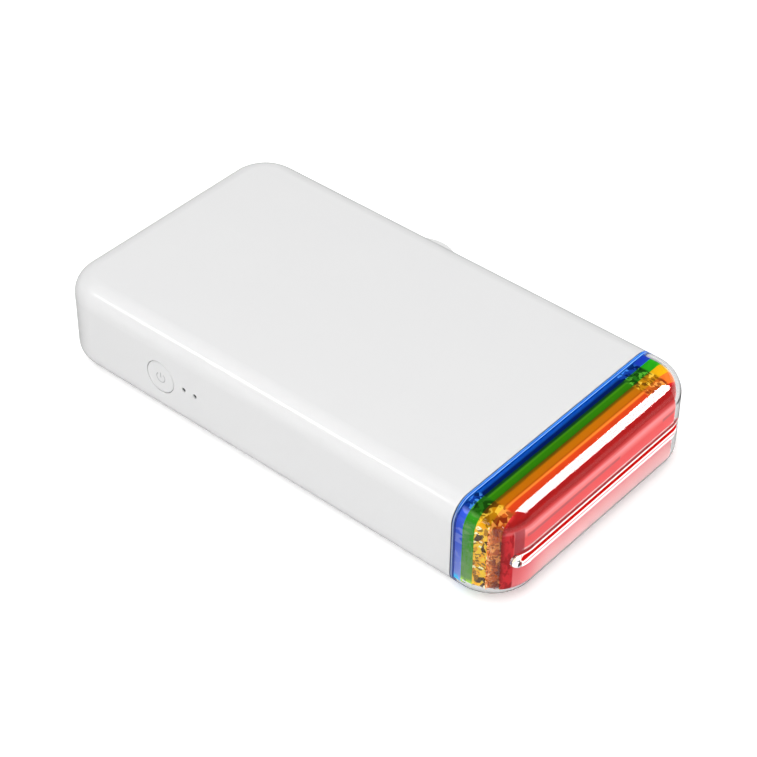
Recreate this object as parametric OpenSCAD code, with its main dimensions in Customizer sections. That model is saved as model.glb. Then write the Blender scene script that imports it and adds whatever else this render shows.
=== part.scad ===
// Pocket photo printer: a white moulded case with a clear, colour-banded front cap,
// a side door over the paper and ribbon cartridge, and the feed gears inside.
// Z is up, the print slot faces -Y, the cartridge door faces +X, sizes are millimetres.
// The case takes its size from the sheet of paper, the feed train and the room round them.

/* [Case] */
// Room beside the sheet, out to the case's side
side_room = 13; // [12:0.5:18]
// Room behind the stack of sheets, out to the rear end
rear_room = 14.5; // [14:0.5:20]
// Room between the side plates and the roof
roof_room = 0.9; // [0.6:0.1:3]
// Corner radius of the case seen from above
corner_r = 12; // [10:0.5:13]
// Fillet round the top edge
top_fillet = 6; // [5:0.25:7]
// Fillet round the bottom edge
bottom_fillet = 5; // [4:0.25:5.5]
// Wall of the white shell
shell_wall = 2; // [1.8:0.1:2.2]
// Thickness of the base cover's floor
base_t = 1.8; // [1.5:0.1:2]
// How far the rubber feet stand below the case
foot_h = 0.6; // [0.4:0.1:1]
// Diameter of a rubber foot
foot_d = 8; // [6:0.5:10]
// Running clearance between parts that fit together
fit_gap = 0.1; // [0.05:0.05:0.15]

/* [Front cap] */
// Wall of the clear cap
cap_wall = 1.2; // [1:0.1:1.4]
// Length of the blue band in front of the seam
blue_t = 2.9; // [2.6:0.1:3.2]
// Thickness of the green band
green_t = 3; // [2.4:0.1:3.4]
// Thickness of the yellow band
yellow_t = 2.9; // [2.4:0.1:3.4]
// Thickness of the orange band
orange_t = 2.5; // [2.4:0.1:3]
// Thickness of the red band behind the front wall
red_t = 2.8; // [2.4:0.1:3.2]
// Length of the spigot that plugs the cap into the shell
spigot_l = 2; // [1.5:0.1:2.5]
// Room in the print slot on each side of the sheet
slot_side = 3; // [2:0.25:3.5]
// Height of the print slot
slot_h = 2.6; // [2.2:0.1:3]
// Height of the flared mouth of the slot
mouth_h = 5; // [4.4:0.1:5.4]
// Depth over which the mouth narrows to the slot
mouth_depth = 1.9; // [1.6:0.1:2.4]
// Height of the slot's middle above the table
slot_z = 13.3; // [13:0.1:13.8]

/* [Door] */
// Room between the cartridge and each end of the door
door_play = 0.5; // [0.3:0.1:1]
// Distance from the top face down to the door's top edge
door_drop = 3.5; // [3:0.1:4]
// Height of the door hinge's axis above the table
hinge_z = 6.2; // [6:0.1:6.5]
// Diameter of a hinge pin
hinge_pin_d = 1.6; // [1.2:0.1:1.8]
// Gap round the door and the button
panel_gap = 0.25; // [0.2:0.05:0.3]
// Distance from the rear end to the middle of the pull tab
tab_back = 64.5; // [40:0.5:90]
// Length of the pull tab on the door
tab_w = 12; // [10:0.5:14]
// How far the pull tab stands out
tab_out = 2; // [1.5:0.1:2.2]
// Thickness of the pull tab
tab_t = 2.6; // [2:0.1:3]
// Distance from the door's top edge down to the middle of the pull tab
tab_drop = 1.9; // [1.6:0.1:2.4]

/* [Button and lights] */
// Diameter of the power button
button_d = 9.2; // [8:0.2:10]
// Distance from the rear end to the button's middle
button_back = 38.1; // [37:0.5:42]
// Height of the button's middle above the table
button_z = 12.9; // [12.6:0.1:13.2]
// Travel of the power button
button_travel = 0.6; // [0.4:0.1:0.7]
// Diameter of the light holes
light_d = 1.3; // [1:0.1:1.5]
// Distance from the button to the first light
light_gap = 8.4; // [8:0.1:9]
// Distance between the two lights
light_pitch = 3.9; // [3:0.1:4.4]

/* [Paper and ribbon] */
// Width of a sheet of photo paper
paper_w = 54; // [50:1:70]
// Length of a sheet
paper_l = 86; // [78:1:110]
// Number of sheets in the cartridge
sheets = 10; // [5:1:10]
// Thickness of a sheet
sheet_t = 0.25; // [0.2:0.01:0.28]
// Wall of the cartridge case
cart_wall = 1; // [0.8:0.1:1.1]
// Radius of the full ribbon roll
supply_r = 4; // [3.5:0.1:4.3]
// Radius of the used ribbon roll
take_up_r = 3.4; // [3:0.1:3.5]

/* [Feed gears] */
// Module of the gears
gear_m = 0.5; // [0.5]
// Pressure angle of the gears
gear_pa = 25; // [25]
// Play between meshing teeth
backlash = 0.12; // [0.1:0.01:0.16]
// Teeth of the motor pinion, platen, rear idler and pick gears
small_teeth = 12; // [12]
// Teeth of the front idler
idler_teeth = 17; // [17]
// Teeth of the take-up gear
take_up_teeth = 20; // [20]
// Teeth of the capstan gear
capstan_teeth = 18; // [18]
// Face width of one gear
gear_w = 2.2; // [1.8:0.1:2.4]
// Thickness of a side plate
plate_t = 1.2; // [1:0.1:1.4]
// Radius of the platen roller
platen_r = 2; // [1.8:0.1:2.2]
// Radius of the capstan
capstan_r = 3; // [2.8:0.1:3.1]
// Radius of the pinch roller
pinch_r = 2.2; // [2:0.1:2.4]

/* [Electronics] */
// Length of the battery along the case
battery_l = 36; // [32:1:38]
// Width of the battery
battery_w = 50; // [40:1:54]
// Thickness of the battery
battery_t = 6; // [5:0.2:7]
// Thickness of the circuit boards
board_t = 1; // [0.8:0.1:1.2]
// Width of the main board
board_w = 52; // [46:1:54]
// Width of the charging port's shell
port_w = 8.9; // [8.9]
// Height of the charging port's shell
port_h = 3.2; // [3.2]
// Diameter of the reset pinhole
pinhole_d = 1.4; // [1.2:0.1:1.6]
// Travel of the reset plunger
plunger_travel = 0.3; // [0.2:0.05:0.4]

/* [Hidden] */
$fn = 64;
eps = 0.01;
// How far a cut runs past the face that it opens
past = 1;

// Colours of the pieces that share a material
white = [0.92, 0.92, 0.92];
steel = [0.75, 0.76, 0.78];
sheet_steel = [0.7, 0.72, 0.74];
nylon = [0.93, 0.93, 0.9];
rubber = [0.2, 0.2, 0.22];
board_green = [0.1, 0.4, 0.25];

// Clearances that several pieces share
seam_gap = 0.15;
path_gap = 0.1;
bore_gap = 0.05;
side_play = 0.2;
plane_gap = 0.5;

// Gear centres stand at their pitch distances, as [y, z]
function pitch_r(teeth) = gear_m * teeth / 2;
function mesh_dist(ta, tb) = pitch_r(ta) + pitch_r(tb);
// The point at distance ra from a and rb from b, on the side given by side
function between(a, b, ra, rb, side) =
    let (
        d = norm(b - a),
        u = (b - a) / d,
        along = (ra * ra - rb * rb + d * d) / (2 * d),
        off = sqrt(ra * ra - along * along)
    )
    a + along * u + side * off * [-u[1], u[0]];
function heading(a, b) = atan2(b[1] - a[1], b[0] - a[0]);
// Turn of gear b that puts its tooth gap on the line to gear a, turned by phase_a
function mesh_phase(a, b, phase_a, ta, tb) =
    let (line = heading(a, b))
    line + 180 - (0.5 - (line - phase_a) * ta / 360) * 360 / tb;

// Heights of the floor and of the paper path
case_z0 = foot_h;
floor_z = case_z0 + base_t;
platen_rise = 4.2;
platen_z = floor_z + platen_rise;
capstan_z = slot_z - path_gap - capstan_r;
pinch_z = slot_z + path_gap + pinch_r;

// Distances along the paper path, from the seam to the rear end
capstan_back = 14.6;
idler_reach_a = mesh_dist(capstan_teeth, idler_teeth);
idler_reach_b = mesh_dist(idler_teeth, small_teeth);
idler_slack = 0.087;
train_l = idler_reach_a + idler_reach_b - idler_slack;
platen_back = sqrt(pow(train_l, 2) - pow(capstan_z - platen_z, 2));
paper_back = 4;
pick_back = 10;
band_inset = cap_wall + fit_gap;
spigot_inset = shell_wall + fit_gap;
cap_l = band_inset + red_t + orange_t + yellow_t + green_t + blue_t;
case_l = cap_l + capstan_back + platen_back + paper_back + paper_l + rear_room;
case_w = paper_w + 2 * side_room;

// Faces of the case
front_y = -case_l / 2;
rear_y = case_l / 2;
side_x = case_w / 2;
in_x = side_x - shell_wall;
rear_in_y = rear_y - shell_wall;
seam_y = front_y + cap_l;

// Front cap: where each coloured band starts, from the seam to the front
blue_y = seam_y - blue_t;
green_y = blue_y - green_t;
yellow_y = green_y - yellow_t;
orange_y = yellow_y - orange_t;
frame_t = 1.5;
frame_y = seam_y + spigot_l;
guide_y = frame_y + frame_t;
collar_wall = 1.2;
collar_reach = 0.5;
slot_w = paper_w + 2 * slot_side;

// Cartridge: a low tray for the paper behind two ribbon lobes
capstan_y = seam_y + capstan_back;
platen_y = capstan_y + platen_back;
pick_y = platen_y + pick_back;
pick_r = 2;
pick_roller_l = 10;
runner_h = 0.4;
cart_z0 = floor_z + runner_h;
paper_z = cart_z0 + cart_wall;
paper_top = paper_z + sheets * sheet_t;
paper_y0 = platen_y + paper_back;
paper_y1 = paper_y0 + paper_l;
paper_gap = 0.3;
tray_lead = 0.5;
tray_h = 6.8;
tray_y0 = paper_y0 - tray_lead;
tray_y1 = paper_y1 + paper_gap + cart_wall;
tray_top = cart_z0 + tray_h;
cart_x = paper_w / 2 + cart_wall + paper_gap + fit_gap;
pick_z = paper_top + path_gap + pick_r;

// Gear centres
capstan_c = [capstan_y, capstan_z];
pinch_c = [capstan_y, pinch_z];
platen_c = [platen_y, platen_z];
pick_c = [pick_y, pick_z];
front_idler_c = between(capstan_c, platen_c, idler_reach_a, idler_reach_b, -1);
rear_reach = mesh_dist(small_teeth, small_teeth);
rear_idler_c = between(platen_c, pick_c, rear_reach, rear_reach, 1);
take_up_reach = mesh_dist(capstan_teeth, take_up_teeth);
take_up_bearing = 39.5;
take_up_c = capstan_c + take_up_reach * [cos(take_up_bearing), sin(take_up_bearing)];
motor_r = 4.2;
motor_l = 18;
motor_boss_r = 1.5;
motor_z = floor_z + motor_r + fit_gap;
motor_reach = mesh_dist(capstan_teeth, small_teeth);
motor_c = [capstan_y - sqrt(pow(motor_reach, 2) - pow(capstan_z - motor_z, 2)), motor_z];
supply_back = 9.2;
supply_rise = 9.8;
supply_c = [platen_y + supply_back, platen_z + supply_rise];

platen_phase = 0;
front_idler_phase = mesh_phase(platen_c, front_idler_c, platen_phase, small_teeth, idler_teeth);
capstan_phase = mesh_phase(front_idler_c, capstan_c, front_idler_phase, idler_teeth, capstan_teeth);
take_up_phase = mesh_phase(capstan_c, take_up_c, capstan_phase, capstan_teeth, take_up_teeth);
motor_phase = mesh_phase(capstan_c, motor_c, capstan_phase, capstan_teeth, small_teeth);
rear_idler_phase = mesh_phase(platen_c, rear_idler_c, platen_phase, small_teeth, small_teeth);
pick_phase = mesh_phase(rear_idler_c, pick_c, rear_idler_phase, small_teeth, small_teeth);

// Side plates and the two gear planes beside the left plate
plate_gap = 0.8;
plate_x = cart_x + plate_gap;
plate_out_x = plate_x + plate_t;
plate_y0 = guide_y;
plate_tail = 12.5;
plate_y1 = pick_y + plate_tail;
plane_a_x = -plate_out_x - plane_gap - gear_w;
plane_b_x = plane_a_x - plane_gap - gear_w;
shaft_r = 1.2;
thin_r = 1;
shaft_end = 0.3;
shaft_x0 = plane_b_x - shaft_end;

// Print head over the platen, on a bracket that lifts about a pivot at the rear
head_l = 4;
head_gap = 0.5;
head_over = 2.2;
head_plate_t = 0.8;
pivot_back = 19.5;
pivot_drop = 0.7;
pivot_edge = 2.2;
head_z0 = platen_z + platen_r + head_gap;
head_top = supply_c[1] + supply_r + head_over;
head_pivot_c = [platen_y + pivot_back, head_top - pivot_drop];
plate_top = head_pivot_c[1] + pivot_edge;

// Top of the case
case_h = plate_top + roof_room + shell_wall;
roof_z = case_h - shell_wall;
part_rise = 1;
part_z = case_z0 + part_rise;
base_lip = 5;

// Lobes of the cartridge round the ribbon rolls
lobe_gap = 0.4;
take_up_lobe_r = take_up_r + lobe_gap;
supply_lobe_r = supply_r + lobe_gap;
film_t = 0.12;
spool_r = 1.8;
spool_gap = 0.3;
cheek_y = pick_y + 2.6;
cheek_w = 2.4;
web_drop = 6.5;
web_rise = 1;
window_gap = 0.5;

// Door opening in the shell
door_y0 = take_up_c[0] - take_up_lobe_r - cart_wall - door_play;
door_y1 = tray_y1 + door_play;
door_l = door_y1 - door_y0;
door_top = case_h - door_drop;
door_t = shell_wall - 0.2;
hinge_x = side_x - door_t;
barrel_r = door_t - bore_gap;
sill_z = hinge_z - door_t - panel_gap;
pin_reach = 4;
pin_end = 0.2;
boss_l = 4;
tab_y = rear_y - tab_back;
tab_z = door_top - tab_drop;
latch_drop = 5.5;
latch_z = roof_z - latch_drop;
latch_rib_t = 1.5;
latch_rib_l = 3.5;
latch_rib_h = 2;
latch_bead_r = 0.95;

// Button and lights on the left side
button_y = rear_y - button_back;
button_c = [button_y, button_z];
button_r = button_d / 2;
flange_lip = 1;
flange_t = 0.8;
light_rise = 0.3;
light_z = button_z + light_rise;
light_ys = [button_y - light_gap, button_y - light_gap - light_pitch];
plunger_r = 1.2;
plunger_seat = 0.1;
switch_gap = 0.3;
flange_x = -in_x + fit_gap + flange_t;
switch_x = flange_x + button_travel + switch_gap;
switch_t = 1.2;
side_board_x = switch_x + switch_t;
side_board_front = 4;
side_board_rear = 6;
side_board_y0 = light_ys[1] - side_board_front;
side_board_l = button_y - side_board_y0 + side_board_rear;
led_t = 0.7;

// Deck over the paper tray, with the battery and the main board on it
deck_gap = 0.8;
deck_t = 1;
deck_z = tray_top + deck_gap;
deck_top = deck_z + deck_t;
deck_y0 = plate_y1;
deck_tail = 6;
deck_y1 = rear_in_y - corner_r + shell_wall + deck_tail;
battery_lead = 1.5;
battery_y0 = deck_y0 + battery_lead;
board_gap = 2;
stud_h = 1;
board_y0 = battery_y0 + battery_l + board_gap;
board_y1 = rear_in_y - 3;
board_z = deck_top + stud_h;
board_top = board_z + board_t;
port_z = board_top + port_h / 2;
port_l = 7.4;
port_inset = 0.4;
port_y1 = rear_y - port_inset;
pinhole_offset = 7;
pinhole_drop = 0.2;
pinhole_x = port_w / 2 + pinhole_offset;
pinhole_z = port_z - pinhole_drop;
plunger_l = 2;
plunger_y1 = board_y1 + 0.1;

screw_inset_x = 6.5;
screw_inset_y = 9;
screw_x = side_x - screw_inset_x;
screw_y = rear_y - screw_inset_y;
screw_r = 0.9;
screw_head_r = 1.9;
screw_head_h = 0.8;
screw_l = 7;
post_r = 2.6;
hook_x = 7;
hook_w = 6;
hook_t = 1;
hook_z = case_z0 + spigot_inset + hook_t;
foot_inset_x = 12;
foot_inset_y = 20;
foot_x = side_x - foot_inset_x;
foot_ys = [seam_y + foot_inset_y, rear_y - foot_inset_y];
foot_seat = 0.6;

// Edge of a rounded box cut through its side, from its corner centre outward
module edge_profile(rc, z0, z1, rt, rb) {
    intersection() {
        translate([rc - rt, z1 - rt]) circle(r = rt);
        translate([rc - rt, z1 - rt]) square(rt);
    }
    intersection() {
        translate([rc - rb, z0 + rb]) circle(r = rb);
        translate([rc - rb, z0]) square(rb);
    }
    translate([0, z0 + rb]) square([rc, z1 - z0 - rt - rb]);
    translate([0, z1 - rt]) square([rc - rt, rt]);
    translate([0, z0]) square([rc - rb, rb]);
}

// Box with rounded corners and filleted top and bottom edges
module rounded_form(l, w, z0, z1, rc, rt, rb) {
    run_x = w / 2 - rc;
    run_y = l / 2 - rc;
    for (sx = [0, 1], sy = [0, 1]) {
        mirror([sx, 0, 0])
            mirror([0, sy, 0])
                translate([run_x, run_y, 0])
                    rotate_extrude(angle = 90) edge_profile(rc, z0, z1, rt, rb);
    }
    for (s = [0, 1]) {
        mirror([s, 0, 0])
            translate([run_x, run_y, 0])
                rotate([90, 0, 0])
                    linear_extrude(2 * run_y) edge_profile(rc, z0, z1, rt, rb);
        mirror([0, s, 0])
            translate([-run_x, run_y, 0])
                rotate([90, 0, 90])
                    linear_extrude(2 * run_x) edge_profile(rc, z0, z1, rt, rb);
    }
    translate([-run_x, -run_y, z0]) cube([2 * run_x, 2 * run_y, z1 - z0]);
}

// The outer form of the case moved inward by inset on every side
module case_form(inset) {
    rounded_form(case_l - 2 * inset, case_w - 2 * inset, case_z0 + inset, case_h - inset,
        corner_r - inset, top_fillet - inset, bottom_fillet - inset);
}

// Hollow of the white shell: it reaches down to the base cover's floor
module shell_hollow() {
    rounded_form(case_l - 2 * shell_wall, case_w - 2 * shell_wall, floor_z, roof_z,
        corner_r - shell_wall, top_fillet - shell_wall, bottom_fillet - shell_wall);
}

// Slab across the whole case between two places along Y
module slab_y(y0, y1) {
    translate([-case_w, y0, -past]) cube([2 * case_w, y1 - y0, case_h + 2 * past]);
}

// Upright plan outline with round corners, as a prism
module plan_block(inset, z0, z1) {
    l = case_l - 2 * inset;
    w = case_w - 2 * inset;
    r = corner_r - inset;
    translate([-w / 2, -l / 2 + r, z0]) cube([w, l - 2 * r, z1 - z0]);
    translate([-w / 2 + r, -l / 2, z0]) cube([w - 2 * r, l, z1 - z0]);
    for (sx = [-1, 1], sy = [-1, 1]) {
        translate([sx * (w / 2 - r), sy * (l / 2 - r), z0]) cylinder(r = r, h = z1 - z0);
    }
}

// Cylinder along X from x0, at [y, z]
module rod(c, r, x0, len) {
    translate([x0, c[0], c[1]]) rotate([0, 90, 0]) cylinder(r = r, h = len);
}

// Bore along X through a plate that starts at x0
module plate_bore(c, r, x0, t) {
    rod(c, r, x0 - past, t + 2 * past);
}

// Flat bar with round ends through the front, from y0 to y1
module slot_bar(w, h, y0, y1) {
    translate([-w / 2 + h / 2, y0, slot_z - h / 2]) cube([w - h, y1 - y0, h]);
    for (s = [-1, 1]) {
        translate([s * (w / 2 - h / 2), y1, slot_z])
            rotate([90, 0, 0]) cylinder(r = h / 2, h = y1 - y0);
    }
}

// Mouth of the print slot, narrowing from the outer face inward
module slot_mouth() {
    y1 = front_y + mouth_depth;
    half = slot_w / 2 - slot_h / 2;
    translate([-half, 0, slot_z])
        rotate([90, 0, 90])
            linear_extrude(2 * half)
                polygon([[front_y, -mouth_h / 2], [y1, -slot_h / 2], [y1, slot_h / 2],
                    [front_y, mouth_h / 2]]);
    for (s = [-1, 1]) {
        translate([s * half, y1, slot_z])
            rotate([90, 0, 0]) cylinder(r1 = slot_h / 2, r2 = mouth_h / 2, h = mouth_depth);
    }
}

// Involute gear outline; the first tooth points along +X when turned by 0
function involute(base, t) = base * [cos(t) + t * PI / 180 * sin(t), sin(t) - t * PI / 180 * cos(t)];
function turned(p, a) = [p[0] * cos(a) - p[1] * sin(a), p[0] * sin(a) + p[1] * cos(a)];
function flipped(p) = [p[0], -p[1]];
// Unwinding angle at which the involute of a base circle reaches radius r
function unwound(base, r) = sqrt(max(pow(r / base, 2) - 1, 0)) * 180 / PI;
module gear_outline(teeth) {
    pr = pitch_r(teeth);
    base = pr * cos(gear_pa);
    root = pr - 1.2 * gear_m;
    t_tip = unwound(base, pr + 0.9 * gear_m);
    t_low = unwound(base, root);
    t_pitch = tan(gear_pa) * 180 / PI;
    half_tooth = 90 / teeth - backlash / 2 / pr * 180 / PI + t_pitch - gear_pa;
    steps = 4;
    flank = [for (i = [0:steps])
        turned(involute(base, t_low + (t_tip - t_low) * i / steps), -half_tooth)];
    foot = turned([root, 0], -half_tooth);
    tooth = concat([foot], flank, [for (i = [steps:-1:0]) flipped(flank[i])], [flipped(foot)]);
    polygon([for (k = [0:teeth - 1]) for (p = tooth) turned(p, k * 360 / teeth)]);
}

// Gear at [y, z] with its face from x0, turned by phase, with a bore; a large one has a
// thinner web between its hub and its rim
module spur_gear(c, teeth, x0, w, phase, bore) {
    hub_wall = 0.9;
    rim_depth = 2.4;
    hub_r = shaft_r + hub_wall;
    rim_r = pitch_r(teeth) - rim_depth * gear_m;
    web_depth = 0.4;
    translate([x0, c[0], c[1]])
        rotate([90, 0, 90])
            difference() {
                rotate([0, 0, phase]) linear_extrude(w) gear_outline(teeth);
                translate([0, 0, -past]) cylinder(r = bore, h = w + 2 * past);
                if (rim_r > hub_r + web_depth) {
                    difference() {
                        translate([0, 0, -past]) cylinder(r = rim_r, h = past + web_depth);
                        translate([0, 0, -2 * past]) cylinder(r = hub_r, h = 4 * past);
                    }
                }
            }
}

// White moulded shell: top, sides and rear in one piece, open at the front and below
module upper_shell() {
    boss_in = 2;
    boss_out = 0.5;
    screw_hole = 12;
    port_room = fit_gap + 0.2;
    color(white)
    difference() {
        union() {
            difference() {
                case_form(0);
                shell_hollow();
            }
            // Bosses that hold the door's hinge pins
            for (y = [door_y0 - panel_gap - boss_l, door_y1 + panel_gap]) {
                translate([hinge_x - boss_in, y, sill_z])
                    cube([boss_in + boss_out, boss_l, 2 * door_t]);
            }
            // Screw posts for the base cover
            for (s = [-1, 1]) {
                translate([s * screw_x, screw_y, floor_z + fit_gap])
                    cylinder(r = post_r, h = roof_z - floor_z);
            }
        }
        slab_y(-case_l, seam_y + seam_gap);
        // Opening in the bottom for the base cover
        plan_block(base_lip - fit_gap, -past, floor_z + eps);
        translate([-case_w, -case_l, -past])
            cube([2 * case_w, 2 * case_l, part_z + seam_gap + past]);
        // Door opening
        translate([in_x - corner_r, door_y0 - panel_gap, sill_z])
            cube([2 * corner_r, door_l + 2 * panel_gap, door_top + panel_gap - sill_z]);
        for (y = [door_y0 - panel_gap, door_y1 + panel_gap + boss_l]) {
            translate([hinge_x, y + eps, hinge_z])
                rotate([90, 0, 0]) cylinder(d = hinge_pin_d, h = boss_l + 2 * eps);
        }
        // Holes for the button, the two lights, the charging port and the pinhole
        plate_bore(button_c, button_r + panel_gap, -side_x, shell_wall);
        for (y = light_ys) {
            plate_bore([y, light_z], light_d / 2, -side_x, shell_wall);
        }
        port_opening(port_room, rear_in_y - past, rear_y + past);
        translate([pinhole_x, rear_y + past, pinhole_z])
            rotate([90, 0, 0]) cylinder(d = pinhole_d, h = shell_wall + 2 * past);
        for (s = [-1, 1]) {
            translate([s * screw_x, screw_y, 0]) cylinder(r = screw_r, h = screw_hole);
        }
    }
}

// Flat base cover, set into the bottom of the shell
module base_cover() {
    runner_w = 1.2;
    runner_in = 4;
    screw_room = 0.3;
    color([0.88, 0.88, 0.88])
    difference() {
        union() {
            intersection() {
                case_form(0);
                translate([-case_w, seam_y + seam_gap, 0]) cube([2 * case_w, case_l, part_z]);
            }
            intersection() {
                plan_block(base_lip, part_z - eps, floor_z);
                slab_y(guide_y + fit_gap, case_l);
            }
            // Runners under the cartridge
            for (x = [-cart_x + runner_in, 0, cart_x - runner_in]) {
                translate([x - runner_w / 2, tray_y0, floor_z - eps])
                    cube([runner_w, paper_l - runner_in, runner_h + eps]);
            }
            // Two hooks that catch in the exit frame
            for (s = [-1, 1]) {
                translate([s * hook_x - hook_w / 2, guide_y + fit_gap, floor_z - eps])
                    cube([hook_w, hook_t, hook_z + hook_t - floor_z]);
                translate([s * hook_x - hook_w / 2, guide_y - hook_t / 2, hook_z])
                    cube([hook_w, hook_t, hook_t]);
            }
        }
        for (s = [-1, 1]) {
            translate([s * screw_x, screw_y, 0]) {
                cylinder(r = screw_r + screw_room, h = 2 * floor_z);
                cylinder(r = screw_head_r + screw_room, h = case_z0 + fit_gap + screw_head_h);
            }
        }
        for (s = [-1, 1], y = foot_ys) {
            translate([s * foot_x, y, 0])
                cylinder(d = foot_d + 2 * fit_gap, h = case_z0 + foot_seat);
        }
    }
}

// Four round rubber feet, each stuck in its recess in the base
module rubber_feet() {
    edge = 0.4;
    color([0.3, 0.3, 0.32])
    for (s = [-1, 1], y = foot_ys) {
        translate([s * foot_x, y, 0]) {
            cylinder(d1 = foot_d - 2 * edge, d2 = foot_d, h = edge);
            translate([0, 0, edge]) cylinder(d = foot_d, h = case_z0 + foot_seat - edge);
        }
    }
}

// Two screws through the base cover into the shell's posts
module case_screws() {
    cross_l = 2.4;
    cross_w = 0.5;
    cross_h = 0.4;
    color([0.6, 0.62, 0.64])
    for (s = [-1, 1]) {
        translate([s * screw_x, screw_y, case_z0 + fit_gap]) {
            difference() {
                cylinder(r = screw_head_r, h = screw_head_h);
                translate([-cross_l / 2, -cross_w / 2, -eps]) cube([cross_l, cross_w, cross_h]);
                translate([-cross_w / 2, -cross_l / 2, -eps]) cube([cross_w, cross_l, cross_h]);
            }
            translate([0, 0, screw_head_h]) cylinder(r = screw_r, h = screw_l);
        }
    }
}

// Clear cap: a shell over the coloured bands, with the flared mouth of the print slot
module end_cap() {
    color([0.9, 0.95, 1, 0.35])
    difference() {
        union() {
            difference() {
                intersection() {
                    case_form(0);
                    slab_y(-case_l, seam_y);
                }
                case_form(cap_wall);
            }
            slot_bar(slot_w + 2 * collar_wall, slot_h + 2 * collar_wall,
                front_y + cap_wall / 2, front_y + mouth_depth + collar_reach);
        }
        slot_bar(slot_w, slot_h, -case_l, seam_y);
        slot_mouth();
    }
}

// One coloured band: a full plate of the cap's inner outline with the slot through it
module band(y0, y1, tint) {
    room = 2 * (collar_wall + fit_gap);
    color(tint)
    difference() {
        intersection() {
            case_form(band_inset);
            slab_y(y0, y1);
        }
        slot_bar(slot_w, slot_h, y0 - past, y1 + past);
        slot_bar(slot_w + room, slot_h + room,
            -case_l, front_y + mouth_depth + collar_reach + fit_gap);
    }
}

// The blue band carries the spigot that plugs the cap into the shell
module stripe_blue() {
    tint = [0.1, 0.35, 0.9];
    band(blue_y, seam_y, tint);
    color(tint)
    difference() {
        intersection() {
            case_form(spigot_inset);
            slab_y(seam_y - eps, frame_y);
        }
        slot_bar(slot_w, slot_h, seam_y - past, frame_y + past);
    }
}

module stripe_green() {
    band(green_y, blue_y, [0.2, 0.6, 0.1]);
}

module stripe_yellow() {
    band(yellow_y, green_y, [0.95, 0.65, 0.1]);
}

module stripe_orange() {
    band(orange_y, yellow_y, [0.95, 0.4, 0.15]);
}

module stripe_red() {
    band(front_y, orange_y, [0.85, 0.15, 0.2]);
}

// White frame behind the bands, with the guide that leads the sheet into the slot
module exit_frame() {
    guide_side = 2;
    guide_h = 3.4;
    throat_side = 1;
    throat_h = 1.6;
    roller_room = 3.5;
    color([0.85, 0.85, 0.85])
    difference() {
        union() {
            intersection() {
                case_form(spigot_inset);
                slab_y(frame_y, guide_y);
            }
            slot_bar(paper_w + 2 * guide_side, guide_h, guide_y - eps,
                capstan_y - pinch_r - roller_room);
        }
        slot_bar(paper_w + 2 * throat_side, throat_h, frame_y - past, capstan_y);
        // Pockets for the base cover's hooks
        for (s = [-1, 1]) {
            translate([s * hook_x - hook_w / 2 - fit_gap, guide_y - hook_t, hook_z - fit_gap])
                cube([hook_w + 2 * fit_gap, 2 * hook_t, hook_t + 2 * fit_gap]);
        }
    }
}

// Radius of the disc whose edge stands out by tab_out over a chord of tab_w
function tab_r() = (tab_w * tab_w / 4 + tab_out * tab_out) / (2 * tab_out);

// Side door: a panel of the case's own outer form, rolled round its hinge below
module cartridge_door() {
    skin_in = 5;
    ribs = 6;
    rib_t = 0.8;
    rib_out = 0.8;
    rib_z0 = hinge_z + barrel_r + rib_t;
    color(white)
    difference() {
        union() {
            intersection() {
                difference() {
                    case_form(0);
                    case_form(door_t);
                }
                translate([side_x - skin_in, door_y0, hinge_z])
                    cube([2 * skin_in, door_l, door_top - hinge_z]);
            }
            translate([hinge_x, door_y1, hinge_z])
                rotate([90, 0, 0]) cylinder(r = barrel_r, h = door_l);
            // Pull tab: the edge of a disc
            intersection() {
                translate([side_x + tab_out - tab_r(), tab_y, tab_z - tab_t / 2])
                    cylinder(r = tab_r(), h = tab_t);
                translate([hinge_x + door_t / 2, tab_y - tab_w, tab_z - tab_t])
                    cube([4 * tab_out, 2 * tab_w, 2 * tab_t]);
            }
            // Latch rib on the inside, with a bead at its end
            translate([hinge_x - latch_rib_l, tab_y - latch_rib_t / 2, latch_z])
                cube([latch_rib_l + door_t / 2, latch_rib_t, latch_rib_h]);
            translate([hinge_x - latch_rib_l, tab_y, latch_z])
                cylinder(r = latch_bead_r, h = latch_rib_h);
            // Upright ribs that stiffen the panel
            for (i = [1:ribs]) {
                translate([hinge_x - rib_out, door_y0 + door_l * (i - 0.5) / ribs, rib_z0])
                    cube([rib_out + door_t / 2, rib_t, latch_z - rib_t - rib_z0]);
            }
        }
        for (y = [door_y0 - eps, door_y1 - pin_reach]) {
            translate([hinge_x, y + pin_reach + eps, hinge_z])
                rotate([90, 0, 0]) cylinder(r = hinge_pin_d / 2 + bore_gap, h = pin_reach + 2 * eps);
        }
    }
}

// Two steel pins pressed into the shell's bosses
module door_hinge_pins() {
    pin_l = pin_reach + panel_gap + boss_l - 2 * pin_end;
    color(steel)
    for (y = [door_y0 + pin_reach - pin_end, door_y1 + panel_gap + boss_l - pin_end]) {
        translate([hinge_x, y, hinge_z]) rotate([90, 0, 0]) cylinder(d = hinge_pin_d, h = pin_l);
    }
}

// Spring clip that grips the door's latch rib
module door_latch() {
    grip = latch_rib_h / 2;
    leaf_t = 1.3;
    mouth_w = 2 * leaf_t;
    color(steel)
    difference() {
        translate([plate_out_x, tab_y - mouth_w, deck_z])
            cube([hinge_x - latch_rib_l + grip - plate_out_x, 2 * mouth_w,
                latch_z + latch_rib_h - deck_z]);
        translate([plate_out_x + grip, tab_y - mouth_w / 2, deck_z + grip])
            cube([side_room, mouth_w, case_h]);
    }
}

// Round power button with a retaining flange and its switch plunger
module power_button() {
    color(white) {
        rod(button_c, button_r, -side_x, flange_x - flange_t + side_x + eps);
        rod(button_c, button_r + flange_lip, flange_x - flange_t, flange_t);
        rod(button_c, plunger_r, flange_x - eps, switch_x - flange_x + plunger_seat);
    }
}

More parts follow.
